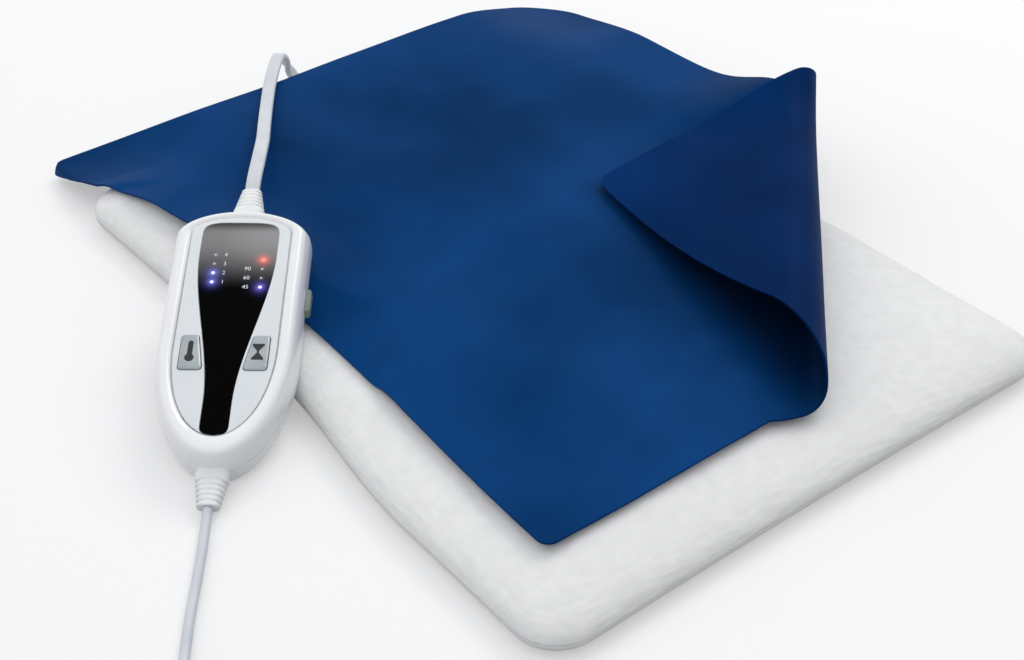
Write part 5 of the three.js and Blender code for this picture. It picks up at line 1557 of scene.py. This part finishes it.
@dataclass
class Sheet:
    """The waterproof sheet, one corner of which is rolled back over itself.

    Its sizes are in millimetres and repeat those of the part's source. Two sizes of the roll are the ones
    at its front end and at its back end.

    Args:
        offset: the flat sheet's middle.
        corner_radii: radii of its back right, back left, front left and front right corners.
        film_gap: its distance from what it lies on and from what lies on it.
        reaches: how far the fold line cuts into its front edge and its right edge.
        lows: radii of the roll's lower bend; highs are those of its upper bend.
        wall_back: height of the upright wall between the bends at the back end.
        outers: how far the roll reaches outward.
        slopes: how steeply the flap falls, in degrees.
        flap_gap: how far the flap stays above the sheet; flap_ease is how softly it comes to rest.
        tip_along: where along the fold line the flap's tip ends up.
        flap_stretch: how much longer the flap is than the flat sheet gives.
        roll_powers: how the roll's two edges bend toward the tip.
        arch: the arch in its left half, which starts at arch_from; bow is its left edge's.
        lift_height: how high the fold's back end lifts it.
        drop: how far it drops at the back right corner; drop_ramps are the lengths across and along.
        hang: how far the hanging corner is drawn to the left, to the back and down.
        crease_cuts: where that corner's crease meets the back edge and the left edge.
        press: distance from the controller where it stops pressing the sheet, and length of the change.
        calm: distance from the controller where the waves start, and length of the change.
        waves: height, two slopes, bend, length and phase of each shallow wave.
        wander: reach, length and phase of the slow bends that they follow, along y and along x.
        flap_reach: how wide the pocket under the flap is; the shade painted there deepens over pocket_depth.
        pocket_painted_shade: how much darker that painted shade makes the film's top.
        reverse_tint: tint of the film's back.
    """

    pad: Pad
    controller: Controller
    width: float = 326.0
    length: float = 392.0
    thickness: float = 1.2
    offset: Pair = (26.5, 20.2)
    columns: int = 150
    rows: int = 180
    corner_radii: tuple[float, ...] = (30.0, 1.5, 6.0, 5.0)
    film_gap: float = 0.3
    reaches: Pair = (197.0, 185.0)
    lows: Pair = (9.8, 4.6)
    wall_back: float = 18.2
    highs: Pair = (18.3, 10.3)
    outers: Pair = (24.2, 13.4)
    slopes: Pair = (32.0, 8.0)
    flap_gap: float = 3.2
    flap_ease: float = 2.0
    tip_along: float = 178.2
    flap_stretch: float = 1.283
    roll_powers: Pair = (1.583, 1.25)
    arch: Swell = Swell(11.0, 72.0, 42.0, 55.0)
    arch_from: float = -75.0
    bow: Swell = Swell(12.3, 25.0, 133.0, 96.0)
    lift_height: float = 18.5
    lift_width: float = 36.0
    lift_ramp: float = 80.0
    drop: float = 12.0
    drop_ramps: Pair = (70.0, 95.0)
    hang: Triple = (11.0, 30.0, 19.5)
    hang_reach: float = 74.0
    crease_cuts: Pair = (8.2, 27.6)
    crease_radius: float = 2.5
    crease_angle: float = 72.0
    press: Pair = (16.0, 32.0)
    calm: Pair = (10.0, 40.0)
    waves: tuple[tuple[float, ...], ...] = (
        (0.42, 0.82, 0.57, 1.0, 23.0, 0.0),
        (0.34, 0.35, -0.94, 1.4, 31.0, 1.1),
        (0.16, 0.95, 0.2, -1.0, 11.5, 2.0),
    )
    wander: tuple[Triple, Triple] = ((7.0, 61.0, 0.6), (5.0, 83.0, 0.0))
    dome_margin: float = 3.0
    flap_reach: float = 118.0
    pocket_depth: float = 46.0
    # Painted shade: how much the film's top is darkened deep in the pocket under the rolled corner.
    pocket_painted_shade: float = 0.62
    reverse_tint: Colour = (0.1, 0.6, 0.74, 1.0)

    def __post_init__(self) -> None:
        """Works out the sheet's edges and its fold line."""
        self.left = self.offset[0] - self.width / 2
        self.right = self.offset[0] + self.width / 2
        self.front = self.offset[1] - self.length / 2
        self.back = self.offset[1] + self.length / 2
        self.level = self.pad.seam + self.pad.crown + self.film_gap + self.thickness / 2
        self.start = np.array([self.right - self.reaches[0], self.front])
        end = np.array([self.right, self.front + self.reaches[1]])
        self.lift = Swell(self.lift_height, float(end[1]), self.lift_width, self.lift_ramp)
        self.fold_length = float(np.hypot(*(end - self.start)))
        self.along = (end - self.start) / self.fold_length
        self.across = np.array([self.along[1], -self.along[0]])

    @staticmethod
    def smooth(value: Array) -> Array:
        """Returns a smooth step of each value between 0 and 1."""
        t = np.clip(value, 0, 1)
        return t * t * (3 - 2 * t)

    def corner_bend(self, x: Array, y: Array) -> tuple[Array, Array, Array]:
        """Bends the hanging corner past its crease.

        Args:
            x: the points' x while flat.
            y: their y.

        Returns:
            How far the points are drawn in along x and y, and down.
        """
        (back_cut, side_cut), radius = self.crease_cuts, self.crease_radius
        length = math.hypot(back_cut, side_cut)
        past = ((self.left + back_cut - x) * side_cut - (self.back - y) * back_cut) / length
        past = np.maximum(past, 0)
        turn = np.minimum(past / radius, math.radians(self.crease_angle))
        straight = past - radius * turn
        drawn = past - radius * np.sin(turn) - straight * np.cos(turn)
        down = radius * (1 - np.cos(turn)) + straight * np.sin(turn)
        return drawn * side_cut / length, drawn * back_cut / length, down

    def lying(self, x: Array, y: Array) -> tuple[Array, Array, Array]:
        """Lays the unfolded sheet over the pad.

        Args:
            x: the points' x while flat.
            y: their y.

        Returns:
            Where they lie along x, y and z.
        """
        smooth, pad = self.smooth, self.pad
        arch = self.arch.at(y, self.arch_from - x)
        lift = self.lift.at(y, x - self.right + self.lift.ramp)
        across, along = self.drop_ramps
        drop = self.drop * smooth((x - self.right + across) / across)
        drop = drop * smooth((y - self.back + along) / along)
        bow = self.bow.at(y, self.left + self.bow.ramp - x)
        hang = smooth(1 - np.hypot(x - self.left, y - self.back) / self.hang_reach)
        bend_x, bend_y, bend_down = self.corner_bend(x, y)
        to_left, to_back, down = self.hang
        px, py = x + bow - to_left * hang + bend_x, y + to_back * hang - bend_y
        height = self.level + arch + lift - drop - down * hang - bend_down
        under = self.controller.underside(px, py) - self.film_gap - self.thickness / 2
        near = 1 - smooth((self.controller.away(px, py) - self.press[0]) / self.press[1])
        height = height - near * np.maximum(height - under, 0)
        left, front = pad.spread(px, py)
        inset = np.minimum(pad.width / 2 - np.abs(px + left), pad.length / 2 - np.abs(py + front))
        inset = inset + self.dome_margin
        share = 1 - 2 * np.clip(inset, 0, pad.width / 2) / pad.width
        dome = pad.seam + pad.crown * np.sqrt(1 - share**pad.crown_power)
        rest = np.where(inset > 0, dome + self.film_gap + self.thickness / 2, 0)
        return px, py, np.maximum(height, rest)

    def section(self, past: Array, along: Array) -> tuple[Array, Array]:
        """Rolls points past the fold line up and over.

        Args:
            past: how far past the fold line the points lie while the sheet is flat.
            along: where along the fold line they end up.

        Returns:
            The distances outward of the fold line and upward of the sheet that it lies on.
        """
        share = np.clip(along / self.fold_length, 0, 1)
        low, high, outer = (mix(*sizes, share) for sizes in (self.lows, self.highs, self.outers))
        slope = np.radians(mix(*self.slopes, share))
        wall, quarter = self.wall_back * share, math.pi / 2
        lifted = np.maximum(past - outer + low, 0)
        first = np.minimum(lifted / low, quarter)
        upright = np.clip(lifted - low * quarter, 0, wall)
        second = np.clip((lifted - low * quarter - wall) / high, 0, quarter + slope)
        flap = np.maximum(lifted - low * quarter - wall - high * (quarter + slope), 0) * self.flap_stretch
        outward = outer - low + low * np.sin(first) - high * (1 - np.cos(second)) - flap * np.cos(slope)
        upward = low * (1 - np.cos(first)) + upright + high * np.sin(second) - flap * np.sin(slope)
        above = upward - self.flap_gap
        kept = self.flap_gap + (above + np.hypot(above, self.flap_ease)) / 2
        over = self.smooth(second / quarter)
        return np.where(lifted > 0, outward, past), upward + (kept - upward) * over

    def place(self, x: Array, y: Array) -> Array:
        """Folds the flat sheet.

        Args:
            x: the points' x while flat.
            y: their y.

        Returns:
            Where they lie once it is folded, in millimetres.
        """
        cut = self.reaches[0]
        past, flat_along = self.from_fold(x, y)
        corner_along = cut * self.along[0]
        share = np.clip(past / (cut * self.across[0]), 0, 1)
        flat_front = corner_along * share
        flat_back = mix(self.fold_length, corner_along, share)
        where = np.clip((flat_along - flat_front) / np.maximum(flat_back - flat_front, 0.001), 0, 1)
        rolled_front = self.tip_along * share ** self.roll_powers[0]
        rolled_back = mix(self.fold_length, self.tip_along, share ** self.roll_powers[1])
        along = mix(rolled_front, rolled_back, where)
        outward, upward = self.section(past, along)
        fx = self.start[0] + self.along[0] * along + self.across[0] * outward
        fy = self.start[1] + self.along[1] * along + self.across[1] * outward
        _, _, ground = self.lying(np.clip(fx, self.left, self.right), np.clip(fy, self.front, self.back))
        lx, ly, lz = self.lying(x, y)
        rolled = past > 0
        height = np.where(rolled, ground + upward, lz) + self.ripple(x, y)
        return np.stack([np.where(rolled, fx, lx), np.where(rolled, fy, ly), height], -1)

    def from_fold(self, x: Array | float, y: Array | float) -> tuple[Array, Array]:
        """Measures points from where the fold line starts.

        Args:
            x: the points' x.
            y: their y.

        Returns:
            How far they lie outward of the fold line and along it.
        """
        dx, dy = x - self.start[0], y - self.start[1]
        return dx * self.across[0] + dy * self.across[1], dx * self.along[0] + dy * self.along[1]

    def ripple(self, x: Array, y: Array) -> Array:
        """Makes the shallow waves of a film that has been folded away and spread again.

        Args:
            x: the points' x while flat.
            y: their y.

        Returns:
            The waves' height, which fades toward the controller.
        """
        slow = zip((y, x), self.wander)
        bend = sum(reach * np.sin(at / length + phase) for at, (reach, length, phase) in slow)
        wave = sum(
            height * np.sin((x * a + y * b + bend * c) / length + phase)
            for height, a, b, c, length, phase in self.waves
        )
        fade = self.smooth((self.controller.away(x, y) - self.calm[0]) / self.calm[1])
        return (wave + 0.5) * fade

    def pocket(self, x: float, y: float) -> float:
        """Finds how deep in the pocket under the rolled corner a point of the film lies, for the painted
        shade.

        Args:
            x: the point's x.
            y: its y.

        Returns:
            The depth, from 0 to 1.
        """
        outward, along = self.from_fold(x, y)
        side = along / self.tip_along
        if along >= self.tip_along:
            side = (self.fold_length - along) / (self.fold_length - self.tip_along)
        return float(self.smooth(np.array((outward + self.flap_reach * side) / self.pocket_depth)))

    def flat_grid(self) -> tuple[Array, Array]:
        """Returns the flat places of the grid, with the cut's corners rounded."""
        u, v = np.meshgrid(np.linspace(0, 1, self.columns + 1), np.linspace(0, 1, self.rows + 1))
        x = self.left + self.width * u
        y = self.front + self.length * v
        corners = [(self.right, self.back), (self.left, self.back)]
        corners += [(self.left, self.front), (self.right, self.front)]
        for (corner_x, corner_y), radius in zip(corners, self.corner_radii):
            sx = math.copysign(1, self.offset[0] - corner_x)
            sy = math.copysign(1, self.offset[1] - corner_y)
            cx, cy = corner_x + sx * radius, corner_y + sy * radius
            a, b = -(x - cx) * sx / radius, -(y - cy) * sy / radius
            inside = (a > 0) & (b > 0)
            nx = cx - sx * radius * a * np.sqrt(np.clip(1 - b**2 / 2, 0, 1))
            ny = cy - sy * radius * b * np.sqrt(np.clip(1 - a**2 / 2, 0, 1))
            x, y = np.where(inside, nx, x), np.where(inside, ny, y)
        return x, y

    def build(self) -> None:
        """Builds the folded sheet as one closed film."""
        x, y = self.flat_grid()
        step = 0.3
        side_x = self.place(x + step, y) - self.place(x - step, y)
        side_y = self.place(x, y + step) - self.place(x, y - step)
        normal = np.cross(side_x, side_y)
        normal /= np.linalg.norm(normal, axis=-1, keepdims=True)
        top = self.place(x, y) + normal * self.thickness / 2
        shaper = Shaper("waterproof_film")
        side = shaper.mesh.verts.layers.float_color.new("side")
        grid = bmesh.ops.create_grid(shaper.mesh, x_segments=self.columns, y_segments=self.rows, size=0.5)
        for vert in grid["verts"]:
            column = round((vert.co.x + 0.5) * self.columns)
            row = round((vert.co.y + 0.5) * self.rows)
            vert.co = Vector(top[row, column]) * MM
        shaper.mesh.normal_update()
        above = {vert.co.copy().freeze() for vert in grid["verts"]}
        bmesh.ops.solidify(shaper.mesh, geom=shaper.whole(), thickness=self.thickness * MM)
        # The film's top gets painted shade that deepens into the pocket under the rolled corner; its back
        # gets the reverse tint.
        for vert in shaper.mesh.verts:
            shade = 1 - self.pocket_painted_shade * self.pocket(vert.co.x / MM, vert.co.y / MM)
            vert[side] = (shade, shade, shade, 1) if vert.co.copy().freeze() in above else self.reverse_tint
        made = shaper.finish(SHEET_FILM, replaces=["waterproof_sheet"], crease=60)


@dataclass
class Plug:
    """The two-pin plug that lies by the coil.

    Args:
        place: the back end of its body, in millimetres.
        pin_spacing: distance between its pins.
    """

    place: Triple = (-260.0, -234.5, 6.9)
    pin_spacing: float = 18.6

    def build(self) -> None:
        """Builds the plug's body, its ribbed relief and its pins."""
        body = [(0.3, 7.5, 5.0), (3.0, 8.0, 5.6), (7.0, 10.6, 6.4), (11.0, 14.2, 6.8), (16.5, 16.5, 6.8)]
        body += [(22.0, 16.3, 6.8), (27.0, 14.6, 6.8), (31.0, 13.4, 6.6), (32.4, 13.0, 6.3)]
        body.append((33.0, 12.2, 5.6))
        self.mould("plug_moulding", body, 3.0, RUBBER, ["plug_body"])
        neck = [(0.0, 5.0), (2.4, 5.0)]
        for t, sunk in ribs(5, ((0.1, 0.75), (0.35, 0.75), (0.5, 0.0), (0.95, 0.0))):
            neck.append((2.6 + 19.2 * t, 4.9 - 1.6 * t - sunk))
        neck.append((22.0, 3.2))
        self.mould("plug_relief_moulding", [(-a, r, r) for a, r in neck], 2.0, RUBBER, ["plug_relief"])
        metal = [(29.0, 1.8), (42.3, 1.8), (42.5, 1.98), (50.4, 1.98), (51.2, 1.7), (51.7, 1.2), (51.95, 0.6)]
        sleeve = [(31.5, 2.0), (42.1, 2.0), (42.3, 1.85)]
        for side, name in ((1, "left"), (-1, "right")):
            y = side * self.pin_spacing / 2
            pins = [f"plug_pin_{name}"]
            self.mould(f"{name}_pin_metal", [(a, r, r) for a, r in metal], 2.0, PIN_METAL, pins, y)
            self.mould(f"{name}_pin_sleeve", [(a, r, r) for a, r in sleeve], 2.0, BLACK, [], y)

    def mould(
        self,
        name: str,
        sections: Sequence[Triple],
        squareness: float,
        finish: Finish,
        nodes: Sequence[str],
        across: float = 0.0,
    ) -> None:
        """Builds one moulding from flattened sections along X.

        Args:
            name: the piece's name.
            sections: place toward the pins, half width and half height of each section.
            squareness: exponent of the section's outline.
            finish: the piece's finish.
            nodes: CAD nodes that it stands for.
            across: its place across, from the plug's middle.
        """
        x, y, z = self.place
        rings = oval_rings(
            sections, squareness, lambda a, b, c: Vector((x + a, y + (across + b), z + c)) * MM
        )
        Shaper(name).loft(rings).finish(finish, replaces=nodes, crease=45)


@dataclass
class Gland:
    """The moulded gland where the flat cord enters the pad.

    Args:
        place: where it meets the pad's edge, in millimetres.
    """

    place: Triple = (14.2, 198.0, 9.0)

    def build(self) -> None:
        """Builds the gland's tongue, flange and ribbed neck."""
        sections = [(-13.0, 10.0, 3.0), (0.3, 10.0, 3.0), (0.3, 11.3, 3.8), (0.5, 11.8, 4.3)]
        sections += [(1.0, 12.0, 4.5), (6.2, 12.0, 4.5), (6.8, 11.8, 4.3), (7.0, 11.3, 3.9)]
        shape = ((0.05, 0.8), (0.38, 0.8), (0.46, 0.25), (0.56, 0.0), (0.88, 0.0), (0.98, 0.25))
        sections += [(7.3 + 16.7 * t, 12.0 - 6.8 * t - sunk, 4.5 - t - sunk) for t, sunk in ribs(4, shape)]
        sections.append((24.0, 4.9, 3.2))
        x, y, z = self.place
        rings = oval_rings(sections, 3.6, lambda a, b, c: Vector((x + b, y + a, z + c)) * MM)
        Shaper("pad_gland_moulding").loft(rings).finish(RUBBER, replaces=["pad_cord_gland"], crease=40)


@dataclass
class CadFinishes:
    """Dresses every CAD node that stays in view or inside.

    Args:
        finishes: one finish for each material slot of the record.
    """

    finishes: tuple[Finish, ...] = (
        FLEECE, SHEET_FILM, SHELL, PANEL, WINDOW, BUTTON_FACE, KNOB, RUBBER, CABLE, BOARD, BLACK, ORANGE,
        STEEL, PIN_METAL, FELT, WIRE, CLEAR, FUSE_GLASS,
    )

    def build(self) -> None:
        """Gives each node the finish of its slot."""
        finish_of = {finish.slot: finish for finish in self.finishes}
        slot_of = {row["node"]: row["material_slot"] for row in frame["record"]["subparts"]}
        for name, node in frame["nodes"].items():
            node.data.materials.clear()
            node.data.materials.append(finish_of[slot_of[name]].material())


@dataclass
class Studio:
    """Plain pale floor, one soft lamp and a pale world, in metres.

    Args:
        floor_colour: the floor's colour to the camera.
        bounce_colour: its colour to the light that it throws back.
        shadow_relief: how much the camera's white lightens its shadows.
        world_level: the world's light from all sides.
        world_swing: how much more comes from the side of world_from, as a share.
    """

    floor_size: float = 6.0
    floor_drop: float = 0.0001
    floor_colour: str = "fbfbfb"
    bounce_colour: str = "b4b6b8"
    shadow_relief: float = 0.35
    world_colour: Colour = (0.97, 0.98, 1.0, 1.0)
    world_level: float = 0.492
    world_swing: float = 1.0
    world_from: Triple = (-0.3, 0.3, 0.9)
    lamp_place: Triple = (1.6, 0.61, 2.0)
    lamp_size: float = 1.3
    lamp_watts: float = 18.0

    def lamp(self) -> None:
        """Hangs the soft square lamp, which faces the object."""
        data = bpy.data.lights.new("key", "AREA")
        data.shape = "SQUARE"
        data.size = self.lamp_size
        data.energy = self.lamp_watts
        aimed("key", data, self.lamp_place, -Vector(self.lamp_place))

    def floor(self) -> None:
        """Builds the floor: white to the camera, with the object's shadow kept."""
        shaper = Shaper("studio_floor")
        bmesh.ops.create_grid(shaper.mesh, x_segments=1, y_segments=1, size=self.floor_size)
        made = shaper.object()
        pale = bpy.data.materials.new("studio floor")
        pale.use_nodes = True
        graph, nodes = Graph(pale.node_tree), pale.node_tree.nodes
        seen = self.seen_ray(graph)
        tones = {0: seen, 6: linear(self.bounce_colour), 7: linear(self.floor_colour)}
        colour = graph.add("Mix", tones, data_type="RGBA")[2]
        surface = {"Base Color": colour, "Roughness": 0.9, "Specular IOR Level": 0.1}
        shader = graph.feed(nodes["Principled BSDF"], surface).outputs[0]
        glow = graph.add("Math", {0: seen, 1: self.shadow_relief}, operation="MULTIPLY")[0]
        white = graph.add("Emission", {})[0]
        both = graph.add("MixShader", {0: glow, 1: shader, 2: white})[0]
        graph.feed(nodes["Material Output"], {"Surface": both})
        made.data.materials.append(pale)
        made.location.z = -self.floor_drop

    @staticmethod
    def seen_ray(graph: Graph) -> bpy.types.NodeSocket:
        """Finds the rays that show the background: camera, glossy and transmission.

        Args:
            graph: the node tree that needs them.

        Returns:
            A socket that is 1 for these rays.
        """
        path = graph.add("LightPath", {})
        seen = path["Is Camera Ray"]
        for ray in ("Is Glossy Ray", "Is Transmission Ray"):
            seen = graph.add("Math", {0: seen, 1: path[ray]}, operation="MAXIMUM")[0]
        return seen

    def world(self) -> None:
        """Makes the pale world, which is brighter above and on the camera's left."""
        world = bpy.data.worlds.new("studio")
        bpy.context.scene.world = world
        world.use_nodes = True
        graph, nodes = Graph(world.node_tree), world.node_tree.nodes
        where = graph.add("TexCoord", {})["Generated"]
        toward = graph.add("VectorMath", {0: where, 1: self.world_from}, operation="DOT_PRODUCT")["Value"]
        swing = {0: toward, 1: self.world_level * self.world_swing, 2: self.world_level}
        level = graph.add("Math", swing, operation="MULTIPLY_ADD")[0]
        sky = graph.feed(nodes["Background"], {"Color": self.world_colour, "Strength": level}).outputs[0]
        white = graph.add("Background", {"Color": (1.0, 1.0, 1.0, 1.0)})[0]
        both = graph.add("MixShader", {0: self.seen_ray(graph), 1: sky, 2: white})[0]
        graph.feed(nodes["World Output"], {"Surface": both})

    def build(self) -> None:
        """Builds the studio."""
        self.world()
        self.floor()
        self.lamp()
        bpy.context.scene.view_settings.view_transform = "Standard"


def main() -> None:
    """Builds the whole scene in order."""
    logging.basicConfig(level=logging.INFO, format="%(name)s: %(message)s")
    pad, controller = Pad(), Controller()
    parts = [PhotoCamera(), CadFinishes(), Plug(), Gland(), Cords(), pad, Sheet(pad, controller), controller]
    for part in [*parts, Studio()]:
        part.build()


if __name__ == "__main__":
    main()
